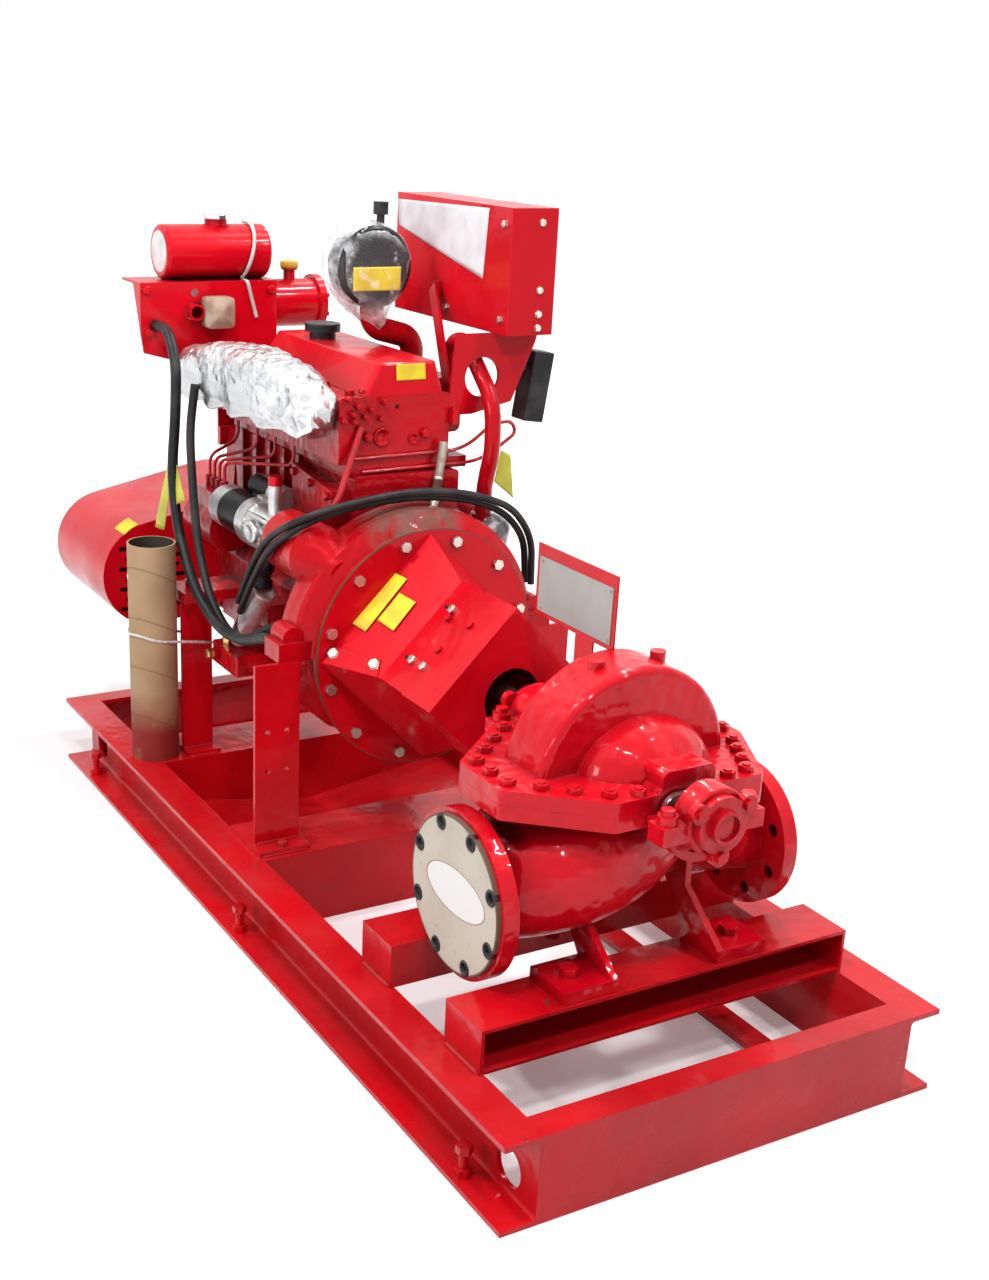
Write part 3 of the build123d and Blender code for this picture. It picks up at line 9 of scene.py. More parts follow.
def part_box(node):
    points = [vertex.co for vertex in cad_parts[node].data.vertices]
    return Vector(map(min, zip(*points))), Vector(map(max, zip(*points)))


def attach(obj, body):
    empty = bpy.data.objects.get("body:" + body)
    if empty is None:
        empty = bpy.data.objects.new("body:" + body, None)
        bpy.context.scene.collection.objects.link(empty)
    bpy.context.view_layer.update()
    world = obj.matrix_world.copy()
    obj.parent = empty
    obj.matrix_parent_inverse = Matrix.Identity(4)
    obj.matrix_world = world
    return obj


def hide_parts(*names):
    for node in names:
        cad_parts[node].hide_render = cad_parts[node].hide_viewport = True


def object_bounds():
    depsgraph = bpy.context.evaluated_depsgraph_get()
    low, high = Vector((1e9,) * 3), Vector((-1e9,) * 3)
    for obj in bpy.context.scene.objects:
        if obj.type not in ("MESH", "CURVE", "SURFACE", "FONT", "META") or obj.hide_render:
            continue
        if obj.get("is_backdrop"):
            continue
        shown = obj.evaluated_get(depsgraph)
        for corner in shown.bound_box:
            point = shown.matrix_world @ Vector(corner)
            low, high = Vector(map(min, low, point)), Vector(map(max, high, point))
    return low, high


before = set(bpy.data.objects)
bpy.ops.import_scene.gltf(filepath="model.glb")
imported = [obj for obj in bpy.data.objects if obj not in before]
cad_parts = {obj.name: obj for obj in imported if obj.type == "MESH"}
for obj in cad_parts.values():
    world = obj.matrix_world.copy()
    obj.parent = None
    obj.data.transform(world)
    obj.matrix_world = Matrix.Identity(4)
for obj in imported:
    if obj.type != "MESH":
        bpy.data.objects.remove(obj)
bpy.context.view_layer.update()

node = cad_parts

# Where the set stands: a pale floor under soft studio light, seen from the pump
# end at about head height, with the suction flange on the left.
scene = bpy.context.scene
scene.view_settings.view_transform = "Standard"

camera_data = bpy.data.cameras.new("camera")
camera_data.lens, camera_data.sensor_width = 45.686, 36.0
camera_data.shift_x, camera_data.shift_y = 0.0551, 0.0463
camera_data.clip_start, camera_data.clip_end = 0.05, 60.0
camera = bpy.data.objects.new("camera", camera_data)
bpy.context.collection.objects.link(camera)
camera_place = (2.56392, -1.50180, 1.53083)
azimuth, elevation, roll = 2.61451761, -0.357007113, 0.0390957708
ahead = Vector((math.cos(elevation) * math.cos(azimuth), math.cos(elevation) * math.sin(azimuth),
                math.sin(elevation)))
right = ahead.cross(Vector((0, 0, 1))).normalized()
up = right.cross(ahead)
right_turned = right * math.cos(roll) + up * math.sin(roll)
up_turned = up * math.cos(roll) - right * math.sin(roll)
camera.matrix_world = Matrix.Translation(camera_place) @ Matrix(
    (right_turned, up_turned, -ahead)).transposed().to_4x4()
scene.camera = camera

world = bpy.data.worlds.new("studio")
scene.world = world
world.use_nodes = True
sky = world.node_tree
sky.nodes.clear()
soft = sky.nodes.new("ShaderNodeBackground")
soft.inputs["Color"].default_value = (0.93, 0.95, 1.0, 1)
soft.inputs["Strength"].default_value = 0.30
white = sky.nodes.new("ShaderNodeBackground")
white.inputs["Color"].default_value = (1, 1, 1, 1)
white.inputs["Strength"].default_value = 1.0


def two_faced(tree, lights, shows, output):
    """One shader that lights the set, and another that is seen: straight, off gloss or through film."""
    ray = tree.nodes.new("ShaderNodeLightPath")
    seen = ray.outputs["Is Camera Ray"]
    for kind in ("Is Glossy Ray", "Is Transmission Ray"):
        join = tree.nodes.new("ShaderNodeMath")
        join.operation = "MAXIMUM"
        tree.links.new(seen, join.inputs[0])
        tree.links.new(ray.outputs[kind], join.inputs[1])
        seen = join.outputs[0]
    pick = tree.nodes.new("ShaderNodeMixShader")
    for k, source in enumerate((seen, lights.outputs[0], shows.outputs[0])):
        tree.links.new(source, pick.inputs[k])
    tree.links.new(pick.outputs[0], tree.nodes.new(output).inputs["Surface"])


two_faced(sky, soft, white, "ShaderNodeOutputWorld")


def lamp(name, place, aim, size, power):
    """A square soft lamp at place, turned to face aim."""
    data = bpy.data.lights.new(name, "AREA")
    data.size, data.energy = size, power
    it = bpy.data.objects.new(name, data)
    bpy.context.collection.objects.link(it)
    it.location = place
    it.rotation_euler = (Vector(aim) - Vector(place)).to_track_quat("-Z", "Y").to_euler()


ceiling = 3.5
for k, (x, y, power) in enumerate((
        (-1.9, -1.3, 30), (-1.9, 1.6, 26), (-0.4, -2.2, 36), (-0.3, 1.2, 30),
        (1.2, -1.5, 40), (1.3, 1.4, 30), (2.7, -0.9, 36), (2.6, 1.9, 24))):
    lamp(f"ceiling_lamp_{k + 1}", (x, y, ceiling), (0.2, 0, 0.6), 0.22, power)
lamp("left_lamp", (0.9, -3.5, 1.7), (0, 0, 0.6), 0.8, 30)


def ramp(tree, value, low, high, start=0.0, end=1.0):
    """A value turned into a ramp: start where it is low, end where it is high, level past both."""
    span = tree.nodes.new("ShaderNodeMapRange")
    for socket, number in (("From Min", low), ("From Max", high), ("To Min", start), ("To Max", end)):
        span.inputs[socket].default_value = number
    tree.links.new(value, span.inputs["Value"])
    return span.outputs["Result"]


floor_reach = 30
floor_corners = [(x * floor_reach, y * floor_reach, 0) for x, y in ((-1, -1), (1, -1), (1, 1), (-1, 1))]
floor_mesh = bpy.data.meshes.new("floor")
floor_mesh.from_pydata(floor_corners, [], [(0, 1, 2, 3)])
floor = bpy.data.objects.new("floor", floor_mesh)
bpy.context.collection.objects.link(floor)
floor_paint = bpy.data.materials.new("pale_floor")
floor_paint.use_nodes = True
ground = floor_paint.node_tree
ground.nodes.clear()
shaded = ground.nodes.new("ShaderNodeBsdfDiffuse")
shaded.inputs["Color"].default_value = (0.86, 0.86, 0.86, 1)
dim = ground.nodes.new("ShaderNodeBsdfDiffuse")
dim.inputs["Color"].default_value = (0.60, 0.60, 0.60, 1)
bright = ground.nodes.new("ShaderNodeEmission")
bright.inputs["Color"].default_value = (1, 1, 1, 1)
here = ground.nodes.new("ShaderNodeTexCoord")
distance = ground.nodes.new("ShaderNodeVectorMath")
distance.operation = "LENGTH"
ground.links.new(here.outputs["Object"], distance.inputs[0])
glow = ramp(ground, distance.outputs["Value"], 1.3, 3.4, 0.16, 1.0)
ground.links.new(glow, bright.inputs["Strength"])
lift = ground.nodes.new("ShaderNodeAddShader")
ground.links.new(shaded.outputs[0], lift.inputs[0])
ground.links.new(bright.outputs[0], lift.inputs[1])
two_faced(ground, dim, lift, "ShaderNodeOutputMaterial")
floor_mesh.materials.append(floor_paint)
floor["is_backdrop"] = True

# Base frame: rolled channel welded at the corners, sprayed red with the rest.
# The spray lies thick and glossy, with runs, dust on the flats and rubbed corners.


def new_finish(name, colour, rough, metal=0.0, coat=0.0):
    """A material and its shader, with the values that are the same all over."""
    material = bpy.data.materials.new(name)
    material.use_nodes = True
    shader = material.node_tree.nodes["Principled BSDF"]
    shader.inputs["Base Color"].default_value = (*colour, 1)
    shader.inputs["Roughness"].default_value = rough
    shader.inputs["Metallic"].default_value = metal
    shader.inputs["Coat Weight"].default_value = coat
    shader.inputs["Coat Roughness"].default_value = 0.04
    if metal < 0.1:
        shader.inputs["Specular IOR Level"].default_value = 0.22
    return material, material.node_tree, shader


def own_place(tree, stretch=(1, 1, 1), turn=(0, 0, 0)):
    """The piece's own coordinates in metres, stretched along each axis and turned."""
    where = tree.nodes.new("ShaderNodeTexCoord")
    mapping = tree.nodes.new("ShaderNodeMapping")
    mapping.inputs["Scale"].default_value = stretch
    mapping.inputs["Rotation"].default_value = turn
    tree.links.new(where.outputs["Object"], mapping.inputs["Vector"])
    return mapping.outputs["Vector"]


def patches(tree, scale, low=0.0, high=1.0, detail=3.0, stretch=(1, 1, 1)):
    """Noise over the piece's own coordinates, from 0 where it is under low to 1 above high."""
    noise = tree.nodes.new("ShaderNodeTexNoise")
    noise.inputs["Scale"].default_value = scale
    noise.inputs["Detail"].default_value = detail
    tree.links.new(own_place(tree, stretch), noise.inputs["Vector"])
    return ramp(tree, noise.outputs["Fac"], low, high)


def part_of(tree, vector, axis):
    """One axis of a vector."""
    parts = tree.nodes.new("ShaderNodeSeparateXYZ")
    tree.links.new(vector, parts.inputs["Vector"])
    return parts.outputs[axis]


def along(tree, axis, low, high):
    """A ramp over one of the piece's own coordinates: 0 at low, 1 at high, in metres."""
    return ramp(tree, part_of(tree, own_place(tree), axis), low, high)


def facing(tree, axis, low, high):
    """How far the surface faces along an axis: 0 where that part of its normal is low, 1 at high."""
    shape = tree.nodes.new("ShaderNodeNewGeometry")
    return ramp(tree, part_of(tree, shape.outputs["Normal"], axis), low, high)


def near(tree, centre, low, high, stretch=(1, 1, 1)):
    """A ramp over the distance from a point, or from a line along an axis whose stretch is 0."""
    length = tree.nodes.new("ShaderNodeVectorMath")
    length.operation = "DISTANCE"
    length.inputs[1].default_value = [c * k for c, k in zip(centre, stretch)]
    tree.links.new(own_place(tree, stretch), length.inputs[0])
    return ramp(tree, length.outputs["Value"], low, high)


def both(tree, a, b, kind="MULTIPLY"):
    """Two masks joined, multiplied unless another way is named."""
    join = tree.nodes.new("ShaderNodeMath")
    join.operation = kind
    tree.links.new(a, join.inputs[0])
    if isinstance(b, float):
        join.inputs[1].default_value = b
    else:
        tree.links.new(b, join.inputs[1])
    return join.outputs[0]


def painted_recess_shade(tree, reach, low, high):
    """Where shade is painted into the recesses: 1 deep in a corner, 0 on open faces, looked at over a reach
    in metres.
    """
    open_air = tree.nodes.new("ShaderNodeAmbientOcclusion")
    open_air.samples = 4
    open_air.inputs["Distance"].default_value = reach
    return ramp(tree, open_air.outputs["AO"], high, low)


def paint(tree, shader, tone, *layers):
    """The shader's colour: tone first, then each (mask, colour) layer laid over it where its mask is 1."""
    for mask, colour in layers:
        mix = tree.nodes.new("ShaderNodeMix")
        mix.data_type = "RGBA"
        under, top = mix.inputs[6], mix.inputs[7]
        tree.links.new(mask, mix.inputs["Factor"])
        if isinstance(tone, tuple):
            under.default_value = (*tone, 1)
        else:
            tree.links.new(tone, under)
        top.default_value = (*colour, 1)
        tone = mix.outputs[2]
    tree.links.new(tone, shader.inputs["Base Color"])


def relief(tree, shader, steps, edge=0.0):
    """Bump from (mask, height in metres) pairs over edges that are rounded by a radius."""
    last = None
    if edge:
        rounded = tree.nodes.new("ShaderNodeBevel")
        rounded.samples = 3
        rounded.inputs["Radius"].default_value = edge
        last = rounded.outputs["Normal"]
    for mask, height in steps:
        bump = tree.nodes.new("ShaderNodeBump")
        bump.inputs["Strength"].default_value = 1.0
        bump.inputs["Distance"].default_value = height
        tree.links.new(mask, bump.inputs["Height"])
        if last:
            tree.links.new(last, bump.inputs["Normal"])
        last = bump.outputs["Normal"]
    tree.links.new(last, shader.inputs["Normal"])
    tree.links.new(last, shader.inputs["Coat Normal"])


def dress(material, *names):
    """Puts the material on those CAD nodes."""
    for name in names:
        node[name].data.materials.clear()
        node[name].data.materials.append(material)


def red_enamel(name, colour, deep, dusty, cast, grime, coat=0.22, grain=1.0, recess_shade_weight=0.85):
    """Glossy red enamel: broad shifts from colour to deep, thin dust where it faces up, rubbed spots,
    painted shade in the recesses, and lumps as high as the casting under it, with a fine grain over them."""
    material, tree, shader = new_finish(name, colour, 0.28, coat=coat)
    shader.inputs["Specular IOR Level"].default_value = 0.40
    shader.inputs["Specular Tint"].default_value = (1.0, 0.10, 0.12, 1)
    dust = both(tree, facing(tree, "Z", 0.72, 0.98), patches(tree, 7.0, 0.36, 0.72, 5.0))
    rubbed = both(tree, patches(tree, 55.0, 0.69, 0.72, 2.0), patches(tree, 6.0, 0.5, 0.62))
    paint(tree, shader, colour,
          (patches(tree, 3.2, 0.38, 0.66), deep),
          (both(tree, dust, dusty), (0.52, 0.13, 0.12)),
          (both(tree, rubbed, grime), (0.10, 0.045, 0.035)),
          # Painted shade: a near-black red laid into the recesses that the occlusion mask finds, scaled by
          # the shade weight.
          (both(tree, painted_recess_shade(tree, 0.10, 0.22, 0.72), recess_shade_weight), (0.10, 0.002, 0.004)))
    rough = ramp(tree, patches(tree, 11.0, 0.3, 0.7, 4.0), 0.0, 1.0, 0.20, 0.42)
    tree.links.new(rough, shader.inputs["Roughness"])
    relief(tree, shader, [
        (patches(tree, 16.0, detail=0.6), 0.0022 * (0.35 + cast)),
        (patches(tree, 46.0, detail=0.4), 0.0021 * cast),
        (patches(tree, 110.0, detail=3.0), grain * (0.0004 * cast + 0.00008)),
    ], edge=0.0015)
    return material


# The frame's recesses get a weaker painted shade, a quarter of full strength.
frame_enamel = red_enamel("frame_enamel", (0.64, 0.003, 0.009), (0.48, 0.003, 0.008), 0.10, 0.35, 0.9,
                          coat=0.30, recess_shade_weight=0.25)
dress(frame_enamel, "left_rail", "right_rail", "pump_end_channel", "engine_end_channel",
      "front_cross_channel", "rear_cross_channel", "underframe_bar", "drip_pan", "near_pump_support",
      "far_pump_support", "front_left_post", "front_right_post", "rear_left_post", "rear_right_post",
      "rear_mounts", "levelling_screws")

# Weld beads: at the frame corners, under the pump supports and round the post
# feet, laid by hand, so the ripples are uneven and red with the rest.


def add_piece(name, points, faces, material, slot=None, smooth=True):
    """A mesh from computed points and faces, its doubles merged and its faces turned outward, which
    rides on the base."""
    mesh = bpy.data.meshes.new(name)
    mesh.from_pydata(np.asarray(points, float).reshape(-1, 3).tolist(), [], faces)
    work = bmesh.new()
    work.from_mesh(mesh)
    bmesh.ops.remove_doubles(work, verts=work.verts, dist=1e-6)
    bmesh.ops.recalc_face_normals(work, faces=work.faces)
    work.to_mesh(mesh)
    work.free()
    mesh.polygons.foreach_set("use_smooth", [smooth] * len(mesh.polygons))
    mesh.materials.append(material)
    piece = bpy.data.objects.new(name, mesh)
    bpy.context.collection.objects.link(piece)
    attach(piece, "root")
    return piece


def skin(rows, cols, closed=True, ends=True, start=0):
    """Faces over a grid of points: quads between neighbours and, where each row is a closed ring, one
    between its last point and its first, with a face over each end."""
    r, c = np.meshgrid(np.arange(rows - 1), np.arange(cols if closed else cols - 1), indexing="ij")
    n = (c + 1) % cols
    quads = np.stack([r * cols + c, r * cols + n, (r + 1) * cols + n, (r + 1) * cols + c], -1)
    faces = (quads.reshape(-1, 4) + start).tolist()
    if closed and ends:
        faces += [(np.arange(cols) + start).tolist(), (np.arange(cols) + (rows - 1) * cols + start).tolist()]
    return faces


def merged(grids, ends=True):
    """Several grids of rings in one list of points and faces."""
    points, faces, start = [], [], 0
    for grid in grids:
        rows, cols = grid.shape[:2]
        faces += skin(rows, cols, start=start, ends=ends)
        points.append(grid.reshape(-1, 3))
        start += rows * cols
    return np.concatenate(points), faces


def carried(path, outline):
    """An outline (m, 2), or one for each point (n, m, 2), set square to a path (n, 3): its first axis
    along path x up, its second as near up as it can be."""
    along_path = np.gradient(path, axis=0)
    along_path /= np.linalg.norm(along_path, axis=1)[:, None]
    side = np.cross(along_path, (0.0, 0.0, 1.0))
    weak = np.linalg.norm(side, axis=1) < 0.2
    side[weak] = np.cross(along_path[weak], (0.0, 1.0, 0.0))
    side /= np.linalg.norm(side, axis=1)[:, None]
    top = np.cross(side, along_path)
    outline = np.broadcast_to(outline, (len(path), *np.shape(outline)[-2:]))
    return path[:, None] + outline[..., :1] * side[:, None] + outline[..., 1:] * top[:, None]


def ring(count, radius=1.0):
    """Points of a circle, evenly spaced."""
    turn = np.arange(count) * 2 * np.pi / count
    return radius * np.stack([np.cos(turn), np.sin(turn)], -1)


def bead(start, end, width, seed):
    """A weld bead: a round section carried along a line, of size width x (0.82 + 0.22 |sin| of one
    half turn for each 6 mm ripple + 0.12 x a slow seeded wander), drawn in over the last 6 mm."""
    start, end = np.array(start, float), np.array(end, float)
    length = np.linalg.norm(end - start)
    steps = max(6, int(length / 0.003))
    t = np.linspace(0, 1, steps)
    chance = np.random.default_rng(seed)
    wander = np.convolve(chance.normal(0, 1, steps + 8), np.ones(9) / 9, "valid")
    size = width * (0.82 + 0.22 * np.abs(np.sin(np.pi * t * length / 0.006 + wander)) + 0.12 * wander)
    size *= np.clip(np.minimum(t, 1 - t) * length / 0.006, 0.2, 1)
    return carried(start + t[:, None] * (end - start), ring(7)[None] * size[:, None, None])


web_y, support_y, seat_end_y = 0.353, 0.3615, 0.3600
rail_top, foot_top = 0.1524, 0.1624
frame_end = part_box("left_rail")[1].x
corner_x = [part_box("front_cross_channel")[1].x - 0.0005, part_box("rear_cross_channel")[1].x - 0.0005,
            frame_end - 0.0085, -frame_end + 0.0085]
bead_lines = []
for x in corner_x:
    for side in (-1, 1):
        bead_lines.append(((x, side * web_y, 0.012), (x, side * web_y, 0.150), 0.0042))
weld_z = rail_top + 0.0008
for name in ("near_pump_support", "far_pump_support"):
    low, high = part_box(name)
    for side in (-1, 1):
        bead_lines.append(((low.x + 0.004, side * support_y, weld_z),
                           (high.x - 0.004, side * support_y, weld_z), 0.0050))
        for x in (low.x, high.x):
            bead_lines.append(((x, side * seat_end_y, weld_z), (x, side * web_y, weld_z), 0.0035))
foot_z, plate_z = foot_top + 0.0006, rail_top + 0.0006
for end, face, inner, outer in (("front", -0.040, 0.258, 0.350), ("rear", -0.550, 0.226, 0.295)):
    for hand, side in (("left", -1), ("right", 1)):
        low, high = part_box(f"{end}_{hand}_post")
        near_x, back_x = face + 0.001, face - 0.058
        bead_lines.append(((near_x, side * inner, foot_z), (near_x, side * outer, foot_z), 0.0040))
        bead_lines.append(((face, side * inner, foot_z), (back_x, side * inner, foot_z), 0.0036))
        for x in (low.x, high.x):
            bead_lines.append(((x, low.y + 0.004, plate_z), (x, high.y - 0.004, plate_z), 0.0038))
beads = [bead(a, b, w, 40 + k) for k, (a, b, w) in enumerate(bead_lines)]
weld_enamel = red_enamel("weld_enamel", (0.56, 0.010, 0.018), (0.36, 0.02, 0.016), 0.3, 0.9, 1.0)
add_piece("frame_welds", *merged(beads), weld_enamel, "frame_paint")

# Foot bolts of the front engine posts: hexagon heads with a chamfered crown, each
# on a plain washer, two to a foot plate and sprayed over.


def stacked(centre, out, layers, side=None):
    """Outlines (m, 2) piled up from a point: each (outline, height) lies square to out at its height,
    with its first axis along side."""
    out = Vector(out).normalized()
    side = Vector(side) if side else out.orthogonal().normalized()
    rise = out.cross(side)
    return np.array([np.array(centre, float) + np.outer(outline[:, 0], side) + np.outer(outline[:, 1], rise)
                     + np.array(out) * height for outline, height in layers])


def hex_heads(spots, across, height, washer=1.25, turn=0.0):
    """Hexagon heads at (place, direction) pairs: a washer ring, six flats across / sqrt 3 from corner
    to middle, then a crown drawn in to 0.95 of a half width and domed by 0.04 of the height."""
    corner = np.arange(6) * np.pi / 3 + turn
    six = np.stack([np.cos(corner), np.sin(corner)], -1) * across / math.sqrt(3)
    rim, crown = ring(6, across * 0.5 * washer), ring(6, across * 0.5)
    layers = [(rim, 0.0), (rim, 0.10), (six, 0.12), (six, 0.82), (crown * 0.95, 1.0), (crown * 0.5, 1.04)]
    layers = [(outline, share * height) for outline, share in layers]
    return [stacked(place, direction, layers) for place, direction in spots]


def add_heads(name, spots, across, height, material, slot, **look):
    """One piece of hexagon heads, with its faces left flat."""
    add_piece(name, *merged(hex_heads(spots, across, height, **look)), material, slot, smooth=False)


foot_spots = []
for name in ("front_left_post", "front_right_post"):
    low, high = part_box(name)
    for x in (low.x + 0.016, high.x - 0.016):
        foot_spots.append(((x, (low.y + high.y) / 2, foot_top), (0, 0, 1)))
add_heads("post_foot_bolts", foot_spots, 0.019, 0.010, weld_enamel, "frame_paint")

# Engine castings carry rows of head studs, cover screws and pan bolts, all under
# the same spray, which has softened their corners.
casting_enamel = red_enamel("casting_enamel", (0.56, 0.002, 0.008), (0.36, 0.002, 0.006), 0.08, 1.0, 0.9)
dress(casting_enamel, "engine_block", "oil_pan", "cylinder_head", "injection_pump", "side_block",
      "coolant_pipe", "timing_cover", "intake_pipe", "intake_manifold")
head_low, head_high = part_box("cylinder_head")
cover_low, cover_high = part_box("rocker_cover")
stud_spots = []
for x in np.arange(head_low.x + 0.035, head_high.x - 0.02, 0.065):
    stud_spots.append(((x, -0.1305, head_high.z - 0.032), (0, -1, 0)))
    stud_spots.append(((x + 0.02, 0.1105, head_high.z - 0.032), (0, 1, 0)))
for y in (-0.07, 0.055):
    stud_spots.append(((head_high.x + 0.0003, y, head_high.z - 0.075), (1, 0, 0)))
for x in np.arange(cover_low.x + 0.03, cover_high.x - 0.02, 0.105):
    for y in (-0.094, 0.100):
        stud_spots.append(((x, y, head_high.z), (0, 0, 1)))
add_heads("head_studs", stud_spots, 0.017, 0.011, casting_enamel, "engine_paint")
block_face, pan_face, pan_rim_z = 0.139, 0.1525, 0.446
block_spots = [((x, -block_face, z), (0, -1, 0)) for x, z in (
    (-0.322, 0.818), (-0.322, 0.735), (-0.175, 0.800), (-0.175, 0.735), (-0.25, 0.810), (-0.25, 0.733))]
for side in (-1, 1):
    block_spots += [((x, side * pan_face, pan_rim_z), (0, side, 0)) for x in np.arange(-0.67, -0.16, 0.073)]
add_heads("block_bolts", block_spots, 0.014, 0.008, casting_enamel, "engine_paint")

# Small fittings on the near end of the head: unions and plugs in a cluster over the steel lines
# and two core plugs, under the red spray, and two tapped holes shown as flat black discs of painted shade.


def finish(name, tone, worn, spots, rough, metal=0.0, coat=0.0, grain=None):
    """A finish whose tone turns to the worn one in spots (scale, low, high, detail), over a fine grain
    (height in metres, scale, detail, stretch)."""
    material, tree, shader = new_finish(name, tone, rough, metal, coat)
    paint(tree, shader, tone, (patches(tree, *spots), worn))
    if grain:
        height, scale, *rest = grain
        relief(tree, shader, [(patches(tree, scale, 0.0, 1.0, *rest), height)])
    return material


fitting_spots = [((head_high.x + 0.0002, y, z), (1, 0, 0)) for y, z in (
    (-0.114, 0.989), (-0.094, 0.974), (-0.066, 0.967), (-0.101, 0.946), (-0.124, 0.950), (-0.038, 0.981),
    (-0.044, 0.949), (-0.086, 1.003), (-0.104, 0.960), (-0.079, 0.955))]
add_heads("head_fittings", fitting_spots, 0.0095, 0.014, casting_enamel, "engine_paint",
          washer=1.35, turn=0.4)
plugs = [
    stacked((head_high.x, y, z), (1, 0, 0), side=(0, 1, 0), layers=[
        (ring(28, r * radius), h)
        for r, h in ((1.12, 0.0), (1.08, rise), (0.86, rise), (0.80, rise * 0.3), (0.05, rise * 0.25))])
    for y, z, radius, rise in ((-0.038, 0.912, 0.017, 0.004), (0.030, 0.905, 0.010, 0.003))]
add_piece("core_plugs", *merged(plugs), casting_enamel, "engine_paint")
# Near black for holes: painted shade on the flat discs that stand for open holes and slots.
hole_shade_black = finish("hole_shade_black", (0.010, 0.008, 0.008), (0.030, 0.008, 0.008), (80.0, 0.4, 0.7), 0.8,
                    grain=(0.0002, 200.0))
tapped = [
    stacked((head_high.x, y, z), (1, 0, 0), side=(0, 1, 0), layers=[
        (ring(18, r * 0.0042), h) for r, h in ((1.0, 0.0001), (1.0, 0.0005), (0.05, 0.0005))])
    for y, z in ((-0.007, 0.969), (0.058, 0.920))]
add_piece("tapped_holes", *merged(tapped), hole_shade_black, "engine_paint")

# Exhaust manifold under a wrap of crinkled foil: one blanket drawn over the
# casting, tucked in at the head and turned out in a loose hem along the bottom.


def folds(points, count, low, high, seed):
    """Crease height at each point: the sum of 1 - |sin| of plane waves, sharp where each one turns,
    with seeded directions and rates from low to high, weighted 1 / (1 + 1.1 k), then brought to 1."""
    chance = np.random.default_rng(seed)
    total = np.zeros(len(points))
    for k in range(count):
        way = chance.normal(size=3)
        way /= np.linalg.norm(way)
        rate = low * (high / low) ** (k / max(1, count - 1))
        total += (1 - np.abs(np.sin(points @ way * rate * np.pi + chance.uniform(0, 6)))) / (1 + 1.1 * k)
    return total / total.max()


def pushed_out(points, middle, height):
    """Points moved straight away from their middle, each by its height."""
    outward = points - middle
    outward /= np.linalg.norm(outward, axis=1)[:, None] + 1e-9
    return points + outward * height[:, None]


def squared(turn, power):
    """A circle's points pressed towards a square: each cosine and sine is raised to a power."""
    return (np.sign(np.cos(turn)) * np.abs(np.cos(turn)) ** power,
            np.sign(np.sin(turn)) * np.abs(np.sin(turn)) ** power)


foil_rows, foil_cols = 240, 150
foil_x = np.array([-0.722, -0.705, -0.560, -0.360, -0.230, -0.160, -0.142])
foil_y = np.array([-0.184, -0.190, -0.190, -0.188, -0.180, -0.174, -0.172])
foil_z = np.array([0.954, 0.956, 0.974, 0.983, 0.976, 0.960, 0.955])
foil_wide = np.array([0.050, 0.096, 0.118, 0.122, 0.108, 0.078, 0.030])
foil_tall = np.array([0.056, 0.104, 0.130, 0.140, 0.124, 0.092, 0.036])
u = np.linspace(0, 1, foil_rows)
span_x = foil_x[0] + (foil_x[-1] - foil_x[0]) * ((0.5 - 0.5 * np.cos(np.pi * u)) * 0.35 + u * 0.65)
turn = np.linspace(0, 2 * np.pi, foil_cols, endpoint=False)
wide = np.interp(span_x, foil_x, foil_wide)[:, None] / 2
tall = np.interp(span_x, foil_x, foil_tall)[:, None] / 2
round_y, round_z = squared(turn, 0.72)
ports = 0.5 - 0.5 * np.cos(2 * np.pi * (span_x[:, None] + 0.70) / 0.125)
hem = np.exp(-((turn - math.radians(222)) / 0.13) ** 2)
skirt = 0.010 * hem[None] * (0.8 + 0.3 * np.sin(span_x[:, None] * 61) + 0.3 * ports)
foil = np.stack([
    np.broadcast_to(span_x[:, None], (foil_rows, foil_cols)),
    np.interp(span_x, foil_x, foil_y)[:, None] + (wide + 0.004 * ports) * round_y + skirt * np.cos(turn),
    np.interp(span_x, foil_x, foil_z)[:, None] + tall * round_z - 0.006 * ports * hem
    + skirt * np.sin(turn) * 0.7], -1).reshape(-1, 3)
place_x = foil[:, 0]
middle = np.stack([place_x, np.interp(place_x, foil_x, foil_y), np.interp(place_x, foil_x, foil_z)], -1)
upper = np.clip(0.30 + (foil[:, 2] - middle[:, 2]) / 0.05 + (foil[:, 0] + 0.42) * 1.6, 0.22, 1.0)
crinkle = upper * (0.0105 * folds(foil, 7, 7.0, 34.0, 3) + 0.0045 * folds(foil, 8, 40.0, 120.0, 5))
foil = pushed_out(foil, middle, crinkle - 0.004)
foil_skin, tree, shader = new_finish("crinkled_foil", (0.70, 0.71, 0.72), 0.34, 0.9)
wander = tree.nodes.new("ShaderNodeTexNoise")
wander.inputs["Scale"].default_value = 14.0
tree.links.new(own_place(tree), wander.inputs["Vector"])
bent = tree.nodes.new("ShaderNodeVectorMath")
bent.operation = "MULTIPLY_ADD"
bent.inputs[1].default_value = (0.09, 0.09, 0.09)
tree.links.new(wander.outputs["Color"], bent.inputs[0])
tree.links.new(own_place(tree), bent.inputs[2])
facets = tree.nodes.new("ShaderNodeTexVoronoi")
facets.inputs["Scale"].default_value = 30.0
tree.links.new(bent.outputs["Vector"], facets.inputs["Vector"])
# One value per Voronoi facet, which picks the facets that get a painted glint.
facet_glint = tree.nodes.new("ShaderNodeSeparateColor")
tree.links.new(facets.outputs["Color"], facet_glint.inputs["Color"])
crumpled = both(tree, along(tree, "Z", 0.975, 1.020), along(tree, "X", -0.330, -0.200), "MAXIMUM")
